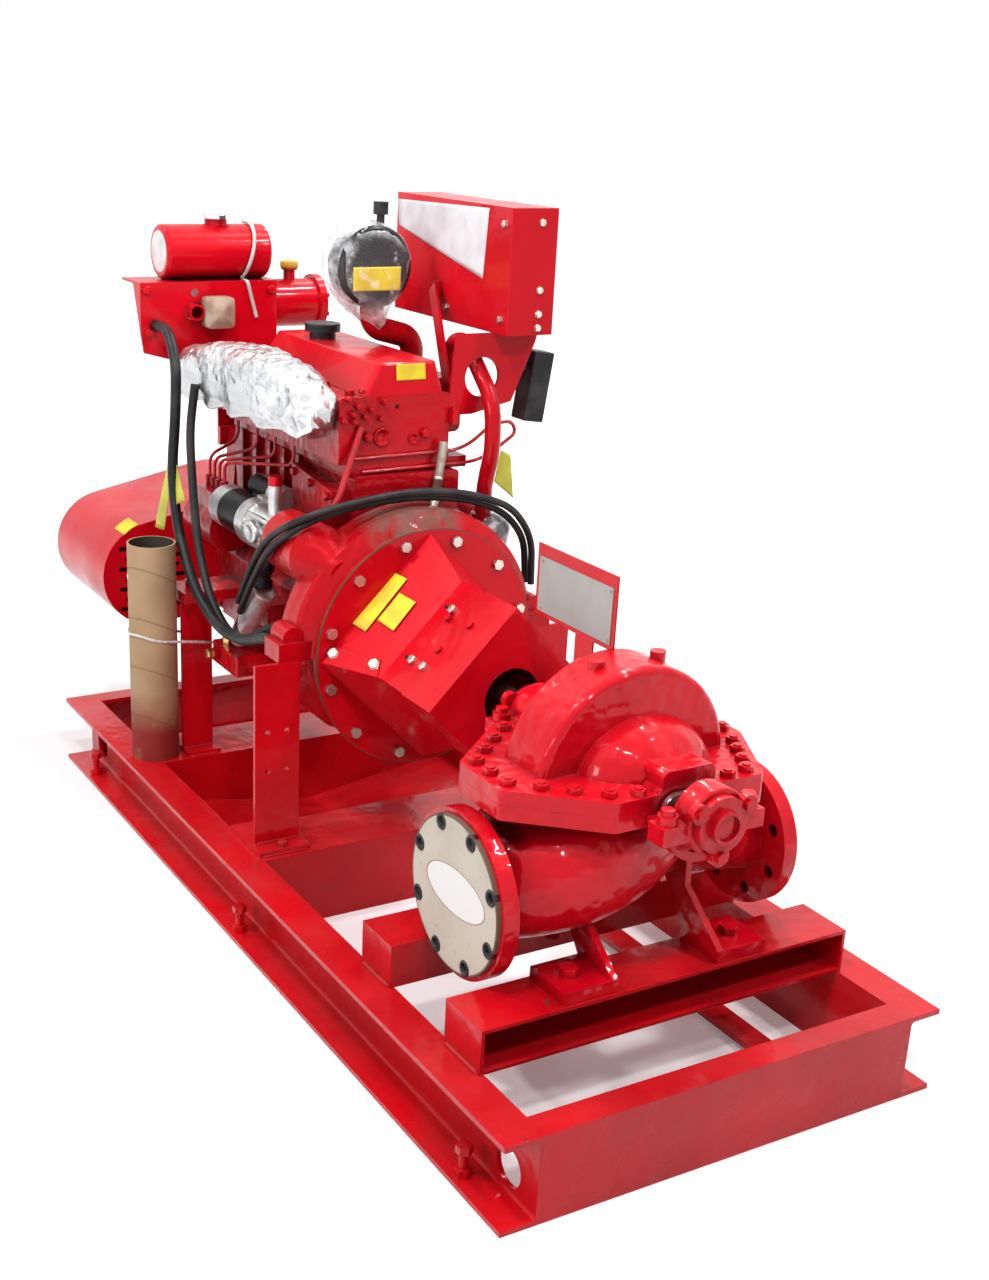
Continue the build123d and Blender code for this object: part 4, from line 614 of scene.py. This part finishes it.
# Painted light on the foil: the faces that turn up are painted lighter than the sides, the facets in the
# crumpled part carry painted glints, and the dark patches there are painted shade in its creases.
paint(tree, shader, (0.46, 0.46, 0.47),
      (facing(tree, "Z", -0.30, 0.60), (0.72, 0.73, 0.74)),
      (both(tree, both(tree, facet_glint.outputs["Red"], crumpled), 0.6), (0.92, 0.92, 0.93)),
      (both(tree, patches(tree, 44.0, 0.60, 0.68, 6.0), both(tree, crumpled, 0.5)), (0.28, 0.28, 0.29)))
rough = ramp(tree, patches(tree, 24.0, 0.3, 0.7), 0.0, 1.0, 0.16, 0.40)
tree.links.new(rough, shader.inputs["Roughness"])
relief(tree, shader, [(both(tree, facets.outputs["Distance"], crumpled), 0.008),
                      (patches(tree, 30.0, detail=4.0), 0.0008)])
foil_wrap = add_piece("foil_wrap", foil, skin(foil_rows, foil_cols), foil_skin, "foil")
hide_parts("exhaust_manifold")

# Starter motor: a plated yoke with a black band, an aluminium nose with a flat
# boss and webs, its zinc bolts, and on top the bright stop valve with its red cap.
bright_steel = finish("bright_steel", (0.66, 0.66, 0.66), (0.40, 0.38, 0.36), (20.0, 0.42, 0.68, 4.0), 0.28,
                      metal=1.0, grain=(0.0002, 400.0, 2.0, (1, 0.1, 0.1)))
dress(bright_steel, "pump_shaft", "front_hub")
starter_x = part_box("starter_motor")[0].x
starter_y, starter_z = -0.192, 0.705
starter_metal, tree, shader = new_finish("starter_metal", (0.62, 0.62, 0.62), 0.33, 0.9)
band = both(tree, along(tree, "X", starter_x + 0.050, starter_x + 0.0505),
            along(tree, "X", starter_x + 0.1495, starter_x + 0.149))
valve_cap = both(tree, along(tree, "Z", 0.798, 0.7985),
                 along(tree, "X", starter_x + 0.215, starter_x + 0.2155))
paint(tree, shader, (0.64, 0.64, 0.64),
      (patches(tree, 30.0, 0.4, 0.7, 4.0), (0.42, 0.42, 0.41)),
      (both(tree, band, along(tree, "Y", -0.150, -0.1505)), (0.012, 0.012, 0.013)),
      (valve_cap, (0.55, 0.01, 0.02)))
relief(tree, shader, [(patches(tree, 160.0, detail=3.0), 0.0005)])
dress(starter_metal, "starter_motor")
ribs = []
for angle in np.radians([-155, -120, -85, -50, 20, 60, 100, 140]):
    x = np.linspace(starter_x + 0.184, starter_x + 0.285, 14)
    reach = np.linspace(0.0455, 0.034, 14)
    path = np.stack([x, starter_y + reach * math.sin(angle), starter_z + reach * math.cos(angle)], -1)
    height = 0.004 + 0.003 * np.sin(np.linspace(0, np.pi, 14))
    ribs.append(carried(path, ring(8)[None] * height[:, None, None]))
boss_foot = (starter_x + 0.232, starter_y - 0.036, starter_z + 0.002)
ribs.append(stacked(boss_foot, (0, -1, 0), side=(1, 0, 0), layers=[
    (ring(24, size) * (1, 0.8), h)
    for h, size in ((0.0, 0.030), (0.016, 0.029), (0.019, 0.026), (0.019, 0.014), (0.016, 0.012))]))
add_piece("starter_nose_ribs", *merged(ribs), starter_metal, "bright_steel")
zinc = finish("zinc_plate", (0.70, 0.68, 0.62), (0.42, 0.36, 0.28), (90.0, 0.45, 0.62), 0.32, metal=1.0,
              grain=(0.0003, 220.0))
starter_spots = [
    ((starter_x + 0.184, starter_y + 0.043 * math.sin(a), starter_z + 0.043 * math.cos(a)), (1, 0, 0))
    for a in np.radians([-130, -70, -20, 60, 130])]
add_heads("starter_bolts", starter_spots, 0.009, 0.006, zinc, "bright_steel")

# Lift pump and small parts low on the left: a pale cylinder with a black band at
# its lower end, a black elbow over it and a brass drain fitting on the side block.
pump_pale, tree, shader = new_finish("pale_cylinder", (0.62, 0.60, 0.58), 0.35, 0.3, coat=0.3)
band = both(tree, along(tree, "X", -0.4005, -0.400), along(tree, "X", -0.3795, -0.380))
paint(tree, shader, (0.64, 0.62, 0.60),
      (patches(tree, 22.0, 0.45, 0.62, 4.0), (0.50, 0.30, 0.29)),
      (band, (0.014, 0.014, 0.015)),
      (along(tree, "Y", -0.1885, -0.188), (0.50, 0.01, 0.018)))
relief(tree, shader, [(patches(tree, 120.0), 0.0004)])
dress(pump_pale, "lift_pump")
rubber = finish("black_rubber", (0.012, 0.012, 0.013), (0.045, 0.042, 0.040), (14.0, 0.45, 0.7, 4.0), 0.42,
                grain=(0.0002, 300.0, 2.0))
bend = np.linspace(0, np.pi / 2, 18)
elbow = np.stack([-0.308 + 0.024 * (1 - np.cos(bend)), np.full(18, -0.216), 0.592 + 0.045 * np.sin(bend)], -1)
elbow_size = np.where(bend < 0.35, 0.021, 0.0165)
add_piece("pump_elbow", *merged([carried(elbow, ring(20)[None] * elbow_size[:, None, None])]), rubber,
          "black_plastic")
brass = finish("brass", (0.66, 0.47, 0.19), (0.34, 0.22, 0.10), (60.0, 0.45, 0.7), 0.3, metal=1.0)
drain_spots = [((-0.454, -0.264, 0.410), (0, -1, 0)), ((-0.454, -0.230, 0.4285), (0, 0, 1))]
add_heads("drain_fitting", drain_spots, 0.020, 0.014, brass, "bright_steel")

# Steel lines on the head and the dipstick tube, drawn steel sprayed red with the
# engine, the oil filter, and the black rubber cables and hoses of the left side.
line_enamel = finish("line_enamel", (0.52, 0.010, 0.016), (0.24, 0.03, 0.03), (60.0, 0.5, 0.68), 0.3,
                     coat=0.4, grain=(0.0005, 90.0))
dress(line_enamel, "steel_lines")
dress(red_enamel("filter_enamel", (0.52, 0.01, 0.016), (0.36, 0.008, 0.012), 0.2, 0.3, 0.6), "oil_filter")
dress(rubber, "cables")

# Exchanger, header tank and their folded bracket: red sheet, a pressed chrome
# cap, a blank white disc on the tank end and a clear hose round its right part.
sheet_enamel = red_enamel("sheet_enamel", (0.64, 0.002, 0.011), (0.52, 0.002, 0.009), 0.05, 0.05, 0.35)
dress(sheet_enamel, "belt_guard", "instrument_panel", "panel_bracket", "coupling_guard", "nameplate_stand",
      "rocker_cover", "heat_exchanger", "exchanger_bracket", "coolant_tank")
chrome = finish("chrome", (0.82, 0.82, 0.82), (0.62, 0.60, 0.57), (50.0, 0.5, 0.7), 0.12, metal=1.0,
                grain=(0.0003, 60.0))
dress(chrome, "tank_cap")
tank_low, tank_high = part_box("coolant_tank")
tank_x, tank_radius = (tank_low.x + tank_high.x) / 2, (tank_high.x - tank_low.x) / 2
tank_z = tank_low.z + tank_radius
paper = finish("white_label", (0.82, 0.82, 0.81), (0.62, 0.58, 0.56), (30.0, 0.42, 0.7, 4.0), 0.5,
               grain=(0.0006, 35.0))
label = stacked((tank_x, tank_low.y, tank_z), (0, -1, 0), [
    (ring(40, r * 0.044), h * 0.0008)
    for r, h in ((0.02, 1), (0.5, 1), (0.9, 1), (1.0, 0.7), (1.0, 0.0), (0.02, 0.0))])
add_piece("tank_end_label", *merged([label]), paper)
plate_x = -0.760
hose_turn = np.radians(np.linspace(100, -64, 60))
hose_reach = tank_radius + 0.0045
hose_path = np.stack([
    tank_x + hose_reach * np.cos(hose_turn), -0.040 + 0.012 * np.sin(hose_turn * 1.3),
    tank_z + hose_reach * np.sin(hose_turn)], -1)
fall = np.linspace(hose_path[-1], (plate_x + 0.0035, -0.030, 1.058), 20)
fall[:, 0] = np.maximum(fall[:, 0], plate_x + 0.0035)
clear_hose = finish("clear_hose", (0.84, 0.80, 0.78), (0.66, 0.55, 0.52), (40.0, 0.4, 0.7), 0.25)
clear_hose.node_tree.nodes["Principled BSDF"].inputs["Transmission Weight"].default_value = 0.35
add_piece("tank_overflow_hose", *merged([carried(np.concatenate([hose_path, fall[1:]]), ring(10, 0.0040))]),
          clear_hose, "black_plastic")
bracket_spots = [((plate_x, y, z), (1, 0, 0))
                 for y, z in ((-0.280, 1.122), (-0.276, 1.033), (0.005, 1.118), (0.005, 0.965))]
add_heads("bracket_bolts", bracket_spots, 0.017, 0.009, sheet_enamel, "engine_paint")
sender = finish("tan_sender", (0.45, 0.34, 0.25), (0.28, 0.15, 0.11), (25.0, 0.4, 0.7, 4.0), 0.6,
                grain=(0.0006, 120.0))
block_outline = 0.033 * np.stack(squared(np.arange(48) * 2 * np.pi / 48, 0.28), -1)
block = stacked((plate_x, -0.125, 1.074), (1, 0, 0), side=(0, 1, 0), layers=[
    (block_outline * s, h) for h, s in (
        (0.0, 0.9), (0.0, 1.0), (0.030, 1.0), (0.034, 0.95), (0.034, 0.60), (0.036, 0.58), (0.036, 0.05))])
add_piece("sender_block", *merged([block]), sender, "black_plastic")
cap_yellow = finish("yellow_cap", (0.66, 0.44, 0.04), (0.40, 0.22, 0.03), (50.0, 0.45, 0.7), 0.35)
neck_top = (-0.820, 0.077, 1.1657)
scalloped = ring(60) * (1 + 0.03 * np.cos(np.arange(60) * 2 * np.pi / 60 * 12))[:, None]
cap = stacked(neck_top, (0, 0, 1), side=(1, 0, 0), layers=[
    (outline * r, h) for outline, r, h in (
        (scalloped, 0.0192, -0.010), (scalloped, 0.0196, -0.004), (scalloped, 0.0192, 0.003),
        (ring(60), 0.0165, 0.005), (ring(60), 0.010, 0.0055), (ring(60), 0.001, 0.0055))])
add_piece("filler_cap", *merged([cap]), cap_yellow, "black_plastic")

# Air cleaner: a black moulded drum shrouded for shipping in clear crinkled film,
# with a blank yellow sticker on its face, as on the belt guard and rocker cover.


def slab(name, top, out, thick, material):
    """A thin sheet under a grid of top points: the same grid again, lower by the thickness along out,
    and its rim closed."""
    rows, cols = top.shape[:2]
    points = np.concatenate([top.reshape(-1, 3), (top - out * thick).reshape(-1, 3)])
    faces = skin(rows, cols, closed=False) + skin(rows, cols, closed=False, start=rows * cols)
    rim = np.concatenate([np.arange(cols), np.arange(1, rows) * cols + cols - 1,
                          (rows - 1) * cols + np.arange(cols - 2, -1, -1), np.arange(rows - 2, 0, -1) * cols])
    follow = np.roll(rim, -1)
    faces += np.stack([rim, follow, follow + rows * cols, rim + rows * cols], -1).tolist()
    add_piece(name, points, faces, material)


def sticker(name, corners, material, lift=0.0006, thick=0.0006, wave=0.0):
    """A flat slab between four corners: points spread evenly between them and raised along their
    normal, with a slow wave, the product of a sine along each side."""
    a, b, c, d = (np.array(p, float) for p in corners)
    s, t = np.meshgrid(np.linspace(0, 1, 14), np.linspace(0, 1, 18), indexing="ij")
    s, t = s[..., None], t[..., None]
    out = np.cross(b - a, d - a)
    out /= np.linalg.norm(out)
    bend = wave * np.sin(3.1 * s + 1.0) * np.sin(2.7 * t + 0.5)
    top = (1 - s) * ((1 - t) * a + t * b) + s * ((1 - t) * d + t * c) + out * (lift + thick + bend)
    slab(name, top, out, thick, material)


moulded = finish("black_moulding", (0.014, 0.014, 0.016), (0.05, 0.045, 0.045), (18.0, 0.45, 0.7, 4.0), 0.34,
                 grain=(0.0003, 240.0, 2.0))
dress(moulded, "air_cleaner", "control_unit", "oil_filler_cap")
drum_x, drum_y, drum_z, drum_radius = -0.350, 0.048, 1.205, 0.080
film, tree, shader = new_finish("clear_film", (0.86, 0.87, 0.88), 0.12)
shader.inputs["Specular IOR Level"].default_value = 0.8
relief(tree, shader, [(patches(tree, 45.0, detail=5.0), 0.0016)])
rim = both(tree, near(tree, (0, drum_y, drum_z), 0.055, 0.088, (0, 1, 1)),
           patches(tree, 24.0, 0.36, 0.60, 5.0))
tail = both(tree, along(tree, "Z", 1.140, 1.105), patches(tree, 40.0, 0.30, 0.60, 4.0))
creases = both(tree, both(tree, rim, tail, "MAXIMUM"), patches(tree, 26.0, 0.57, 0.72, 6.0), "MAXIMUM")
through = tree.nodes.new("ShaderNodeBsdfTransparent")
cling = tree.nodes.new("ShaderNodeMixShader")
cloudy = ramp(tree, creases, 0.0, 1.0, 0.04, 0.82)
for k, source in enumerate((cloudy, through.outputs[0], shader.outputs[0])):
    tree.links.new(source, cling.inputs[k])
tree.links.new(cling.outputs[0], tree.nodes["Material Output"].inputs["Surface"])
film_middle = np.array([drum_x - 0.048, drum_y, drum_z - 0.01])
u = np.linspace(0, np.pi, 110)[:, None]
v = np.linspace(0, 2 * np.pi, 150, endpoint=False)
reach = (drum_radius + 0.007) * np.sin(u) ** 0.42
droop = np.clip(-np.sin(v), 0, 1)[None] ** 6
shroud = np.stack([
    film_middle[0] + 0.060 * np.cos(u) * np.ones(150),
    drum_y + reach * np.cos(v) * (1 - 0.62 * droop) + 0.020 * droop,
    drum_z + reach * (np.sin(v) - 0.52 * droop)], -1).reshape(-1, 3)
wrinkle = 0.008 * folds(shroud, 7, 9.0, 46.0, 21) + 0.003 * folds(shroud, 6, 50.0, 120.0, 23)
shroud = pushed_out(shroud, film_middle, wrinkle - 0.003)
add_piece("drum_film", shroud, skin(110, 150), film, "cover_board")
yellow = finish("yellow_label", (0.80, 0.66, 0.03), (0.68, 0.48, 0.04), (24.0, 0.4, 0.7, 4.0), 0.4,
                grain=(0.0005, 30.0))
sticker("drum_sticker", [(drum_x, -0.004, 1.160), (drum_x, 0.102, 1.160), (drum_x, 0.102, 1.206),
                         (drum_x, -0.004, 1.206)], yellow)
guard_y, guard_z, guard_radius = -0.228, 0.464, 0.1238
turn = np.radians(np.linspace(106, 126, 14))[:, None] * np.ones((1, 12))
label_x = -0.962 + 0.066 * np.linspace(0, 1, 12)[None] + 0.012 * np.linspace(0, 1, 14)[:, None]
curl = np.stack([label_x, guard_y + guard_radius * np.cos(turn), guard_z + guard_radius * np.sin(turn)], -1)
slab("belt_guard_sticker", curl, np.stack([0 * turn, np.cos(turn), np.sin(turn)], -1), 0.0006, yellow)
sticker("cover_sticker", [(-0.1545, -0.007, 1.017), (-0.1545, 0.056, 1.017), (-0.1590, 0.056, 1.047),
                          (-0.1590, -0.007, 1.047)], yellow)

# Instrument panel: a folded steel cabinet with zinc screws round its back edge
# and a thin white slab laid on its left side.
panel_low, panel_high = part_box("instrument_panel")
panel_spots = [((panel_high.x, y, z), (1, 0, 0))
               for y, z in ((0.266, 1.310), (0.268, 1.185), (0.268, 1.140), (0.268, 1.114))]
panel_spots += [((x, panel_low.y, z), (0, -1, 0))
                for x, z in ((-0.125, 1.305), (-0.125, 1.128), (-0.330, 1.128))]
add_heads("panel_screws", panel_spots, 0.012, 0.006, zinc, "bright_steel")
white_sheet = finish("white_sheet", (0.76, 0.77, 0.79), (0.60, 0.56, 0.58), (12.0, 0.42, 0.66, 5.0), 0.35,
                     coat=0.2, grain=(0.0014, 18.0, 5.0))
sticker("panel_sheet", [(x, panel_low.y, z) for x, z in (
    (-0.537, 1.270), (-0.196, 1.197), (-0.183, 1.330), (-0.549, 1.322))], white_sheet, wave=0.0012)

# Top of the flywheel housing: a patch that the spray missed shows grey-brown
# casting, and a pale plated rod stands there in a collar, beside a wrapped unit.
shaft_z = 0.525
housing_enamel = red_enamel("housing_enamel", (0.56, 0.002, 0.008), (0.36, 0.002, 0.006), 0.08, 1.0, 0.9)
tree = housing_enamel.node_tree
shader = tree.nodes["Principled BSDF"]
bare = both(tree, near(tree, (-0.060, -0.015, 0.775), 0.115, 0.070, (0.8, 1, 1)),
            patches(tree, 22.0, 0.30, 0.52, 5.0))
paint(tree, shader, shader.inputs["Base Color"].links[0].from_socket,
      (both(tree, bare, 0.88), (0.17, 0.105, 0.085)))
dress(housing_enamel, "flywheel_housing")
rod_low, rod_high = np.array([-0.112, 0.055, 0.735]), np.array([-0.133, 0.090, 0.898])
share = np.array([0, 0.10, 0.10, 0.14, 0.14, 0.55, 0.55, 0.60, 0.60, 1.0, 1.0])
size = np.array([0.0125, 0.0125, 0.0105, 0.0105, 0.0088, 0.0088, 0.0092, 0.0092, 0.0084, 0.0084, 0.001])
rod_path = rod_low + share[:, None] * (rod_high - rod_low) + np.arange(11)[:, None] * 1e-5
rod_way = (rod_high - rod_low) / np.linalg.norm(rod_high - rod_low)
rod_side = np.cross(rod_way, (0, 1, 0))
rod_side /= np.linalg.norm(rod_side)
rod_rise = np.cross(rod_way, rod_side)
turned = ring(24)
rod = rod_path[:, None] + size[:, None, None] * (turned[:, :1] * rod_side + turned[:, 1:] * rod_rise)[None]
pale_plate = finish("pale_plate", (0.66, 0.64, 0.55), (0.40, 0.34, 0.26), (50.0, 0.42, 0.66), 0.34, metal=0.8,
                    grain=(0.0003, 240.0))
add_piece("plated_rod", *merged([rod]), pale_plate, "bright_steel")
unit_middle = (-0.128, 0.194, 0.708)
u = np.linspace(0.02, np.pi - 0.02, 60)[:, None]
v = np.linspace(0, 2 * np.pi, 90, endpoint=False)[None]
unit = np.stack([
    unit_middle[0] + 0.046 * np.cos(u) * np.ones((1, 90)),
    unit_middle[1] + 0.043 * np.sin(u) ** 0.6 * np.cos(v),
    unit_middle[2] + 0.050 * np.sin(u) ** 0.6 * np.sin(v)], -1).reshape(-1, 3)
unit = pushed_out(unit, unit_middle, 0.008 * folds(unit, 6, 16.0, 70.0, 31) - 0.004)
wrap_film = finish("wrapped_unit", (0.16, 0.16, 0.17), (0.74, 0.75, 0.78), (34.0, 0.44, 0.60, 6.0), 0.18,
                   coat=0.5, grain=(0.0014, 70.0, 5.0))
add_piece("wrapped_unit", unit, skin(60, 90), wrap_film, "foil")

# Disc on the flywheel housing: a round plate over a brown gasket, which shows as
# a thin line round its rim, held by zinc bolts that were fitted after painting.
disc_enamel = red_enamel("disc_enamel", (0.60, 0.002, 0.010), (0.48, 0.002, 0.008), 0.04, 0.05, 0.5)
tree = disc_enamel.node_tree
shader = tree.nodes["Principled BSDF"]
bolt_mask = along(tree, "X", -0.01375, -0.01365)
rim_mask = near(tree, (0, 0, shaft_z), 0.2336, 0.2342, (0, 1, 1))
paint(tree, shader, shader.inputs["Base Color"].links[0].from_socket,
      (rim_mask, (0.13, 0.055, 0.035)), (bolt_mask, (0.60, 0.57, 0.50)))
tree.links.new(both(tree, bolt_mask, 0.9), shader.inputs["Metallic"])
dress(disc_enamel, "guard_disc")

# Coupling guard: two folded sheet pieces that slide over each other, drawn up by
# zinc screws in slots and bolted tabs, with two blank yellow stickers on top.
waist_inner, disc_face, guard_half = 0.165757, -0.014, 0.228
taper_run, taper_fall = 0.119, guard_half - waist_inner
guard_spots, small_spots, slots = [], [], []
slot_outline = ring(24, 0.0034)
slot_outline[:, 0] += 0.010 * np.sign(slot_outline[:, 0])
slot_layers = [(slot_outline * k, h)
               for k, h in ((0.02, 0.0006), (1.0, 0.0006), (1.0, 0.0001), (0.02, 0.0001))]
for side in (-1, 1):
    out = np.array([taper_fall, side * taper_run, taper_run])
    out /= np.linalg.norm(out)
    run = np.array([taper_run, -side * taper_fall, 0.0])
    run /= np.linalg.norm(run)
    across = np.cross(out, run)
    foot = np.array([disc_face, side * guard_half, shaft_z])
    for u, v in ((0.019, 0.023), (0.112, 0.022)):
        guard_spots.append((foot + run * u - across * side * v + out * 0.003, out))
    out = np.array([0, side, 1]) / math.sqrt(2)
    across = np.array([0, 1, -side]) / math.sqrt(2)
    foot = np.array([0.192, side * waist_inner / 2, shaft_z + waist_inner / 2])
    for u, v, lift in ((-0.046, 0.061, 0.0002), (-0.040, -0.057, 0.0002), (0.004, -0.057, 0.0032)):
        small_spots.append((foot + np.array([u, 0, 0]) - across * side * v + out * lift, out))
    for u, v in ((-0.064, 0.061), (-0.058, -0.057)):
        middle = foot + np.array([u, 0, 0]) - across * side * v
        slots.append(stacked(middle, out, slot_layers, side=(1, 0, 0)))
guard_heads = hex_heads(guard_spots, 0.0188, 0.0066, washer=1.2)
guard_heads += hex_heads(small_spots, 0.0165, 0.0094, washer=1.15)
add_piece("guard_bolts", *merged(guard_heads), zinc, "bright_steel", smooth=False)
# The open slots are flat black discs of painted shade laid on the sheet.
add_piece("guard_slots", *merged(slots), hole_shade_black, "sheet_paint")
sticker("guard_sticker_left", [(-0.026, -0.0757, 0.683), (-0.023, -0.1637, 0.595), (0.019, -0.1517, 0.586),
                               (0.014, -0.0637, 0.677)], yellow, lift=0.0016)
sticker("guard_sticker_right", [(0.021, -0.0827, 0.654), (0.022, -0.1287, 0.607), (0.065, -0.1177, 0.597),
                                (0.062, -0.0707, 0.646)], yellow, lift=0.0016)

# Pump: two cast halves bolted along the shaft line, under the thickest and
# glossiest coat of the set, so the castings' grain hardly shows through it.
pump_enamel = red_enamel("pump_enamel", (0.68, 0.002, 0.012), (0.52, 0.002, 0.010), 0.0, 1.5, 0.3,
                         coat=0.36, grain=0.05)
dress(pump_enamel, "pump_lower_casing", "pump_upper_casing", "casing_bolts", "outboard_bearing",
      "inboard_bearing")

# Shipping covers: beige board with a brown cut edge and dark grommets in its bolt
# holes. The suction one carries a blank white oval with a thin outline.
nozzle_x, nozzle_z = 0.619, 0.353
oval, narrow = (nozzle_x + 0.006, -0.3035, nozzle_z + 0.008), (1, 0, 2.3)
board, tree, shader = new_finish("shipping_board", (0.60, 0.53, 0.43), 0.55)
left_half, right_half = along(tree, "Y", -0.290, -0.2905), along(tree, "Y", 0.290, 0.2905)
left_rim = near(tree, (nozzle_x, 0, nozzle_z), 0.1270, 0.1280, (1, 0, 1))
right_rim = near(tree, (nozzle_x, 0, nozzle_z), 0.1145, 0.1155, (1, 0, 1))
paint(tree, shader, (0.60, 0.55, 0.46),
      (patches(tree, 9.0, 0.40, 0.66, 5.0), (0.52, 0.46, 0.38)),
      (patches(tree, 60.0, 0.64, 0.70, 3.0), (0.46, 0.40, 0.33)),
      (both(tree, left_half, near(tree, oval, 0.0905, 0.0895, narrow)), (0.34, 0.05, 0.06)),
      (both(tree, left_half, near(tree, oval, 0.0880, 0.0870, narrow)), (0.82, 0.82, 0.80)),
      (both(tree, left_half, left_rim), (0.15, 0.10, 0.07)),
      (both(tree, right_half, right_rim), (0.15, 0.10, 0.07)))
relief(tree, shader, [(patches(tree, 160.0, detail=4.0), 0.0004)])
dress(board, "suction_cover", "discharge_cover")
grommet = finish("grommet_rubber", (0.02, 0.02, 0.021), (0.07, 0.065, 0.06), (90.0, 0.45, 0.7), 0.5,
                 grain=(0.0003, 200.0))
grommet_layers = [(ring(20, radius), depth) for radius, depth in (
    (0.0095, 0.002), (0.0136, 0.0015), (0.0138, 0.0070), (0.0128, 0.0092), (0.0100, 0.0092),
    (0.0088, 0.0070), (0.0088, -0.012), (0.002, -0.012))]
grommets = []
for face_y, out, reach in ((-0.296, -1, 0.234950 / 2), (0.292, 1, 0.100)):
    for angle in np.radians(22.5 + 45 * np.arange(8)):
        centre = (nozzle_x + reach * math.cos(angle), face_y, nozzle_z + reach * math.sin(angle))
        grommets.append(stacked(centre, (0, out, 0), grommet_layers, side=(1, 0, 0)))
add_piece("cover_grommets", *merged(grommets), grommet, "black_plastic")

# Nameplate on its folded stand: bare grey metal, nothing stamped in it.
plate_metal = finish("plate_metal", (0.40, 0.40, 0.375), (0.33, 0.325, 0.31), (12.0, 0.35, 0.70, 5.0), 0.42,
                     metal=0.45, grain=(0.0002, 300.0, 2.0, (1, 0.2, 1)))
dress(plate_metal, "nameplate")

# Two yellow hanging tags of stiff plastic, bare of text: one by the hoses on the
# left, folded in two legs, and one behind the head on the right.
tag_yellow = finish("tag_yellow", (0.66, 0.64, 0.07), (0.48, 0.46, 0.08), (20.0, 0.4, 0.7, 4.0), 0.45,
                    grain=(0.0012, 26.0, 4.0))
for name, wave, corners in (
        ("left_tag_long", 0.003, ((-0.722, -0.284, 0.622), (-0.680, -0.280, 0.624),
                                  (-0.618, -0.280, 0.790), (-0.640, -0.282, 0.794))),
        ("left_tag_short", 0.002, ((-0.592, -0.284, 0.700), (-0.556, -0.280, 0.716),
                                   (-0.612, -0.279, 0.796), (-0.634, -0.279, 0.790))),
        ("right_tag", 0.002, ((-0.104, 0.190, 0.818), (-0.104, 0.238, 0.780),
                              (-0.104, 0.226, 0.868), (-0.104, 0.203, 0.880)))):
    sticker(name, corners, tag_yellow, wave=wave)

# Card tube tied to the left rear post with white cord: spiral-wound brown card,
# with painted shade on its inner wall, its foot stained by red spray, with a small blank label.
tube_x, tube_y, tube_radius = -0.575, -0.350, 0.051
card, tree, shader = new_finish("brown_card", (0.46, 0.30, 0.17), 0.7)
seam = tree.nodes.new("ShaderNodeTexWave")
seam.bands_direction, seam.wave_profile = "Z", "SAW"
seam.inputs["Scale"].default_value = 3.3
tree.links.new(own_place(tree, turn=(math.radians(26), math.radians(14), 0)), seam.inputs["Vector"])
edge_line = ramp(tree, seam.outputs["Fac"], 0.955, 0.985)
stain = both(tree, along(tree, "Z", 0.310, 0.215), patches(tree, 11.0, 0.20, 0.45, 5.0))
paint(tree, shader, (0.50, 0.33, 0.19),
      (patches(tree, 6.0, 0.38, 0.66, 5.0), (0.38, 0.24, 0.13)),
      (both(tree, edge_line, 0.6), (0.26, 0.16, 0.09)),
      (both(tree, stain, 0.95), (0.24, 0.010, 0.012)),
      # Painted shade: the inner wall of the tube, painted near black.
      (near(tree, (tube_x, tube_y, 0), 0.0475, 0.0468, (1, 1, 0)), (0.055, 0.040, 0.032)))
relief(tree, shader, [(edge_line, 0.0006), (patches(tree, 120.0, detail=3.0), 0.0004)])
dress(card, "paper_tube")
post_corners = [(x, y) for x in (-0.609, -0.5495) for y in (-0.296, -0.225)]
cloud = np.concatenate([ring(72, tube_radius + 0.0016) + (tube_x, tube_y), post_corners])
ways = ring(300)
hull = cloud[np.argmax(ways @ cloud.T, axis=1)]
hull = hull[np.append(True, np.linalg.norm(np.diff(hull, axis=0), axis=1) > 1e-6)]
loop = np.concatenate([np.linspace(a, b, 8, endpoint=False) for a, b in zip(hull, np.roll(hull, -1, axis=0))])
loop = np.column_stack([loop, 0.437 - 0.22 * (loop[:, 1] + 0.401) + 0.002 * np.sin(loop[:, 0] * 90)])
white_cord = finish("white_cord", (0.74, 0.72, 0.70), (0.50, 0.44, 0.42), (120.0, 0.4, 0.7), 0.6,
                    grain=(0.0004, 300.0))
tie = carried(np.concatenate([loop, loop[:1]]), ring(8) * (0.0018, 0.0030))
add_piece("tube_tie", *merged([tie], ends=False), white_cord, "tube_card")
label_turn = np.radians(np.linspace(-112, -92, 12))
face = np.array([[(tube_x + r * math.cos(a), tube_y + r * math.sin(a), z) for a in label_turn]
                 for r, z in ((0.0512, 0.550), (0.0516, 0.550), (0.0516, 0.562), (0.0512, 0.562))])
add_piece("tube_label", face, skin(4, 12, closed=False), paper, "tube_card")

low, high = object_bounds()
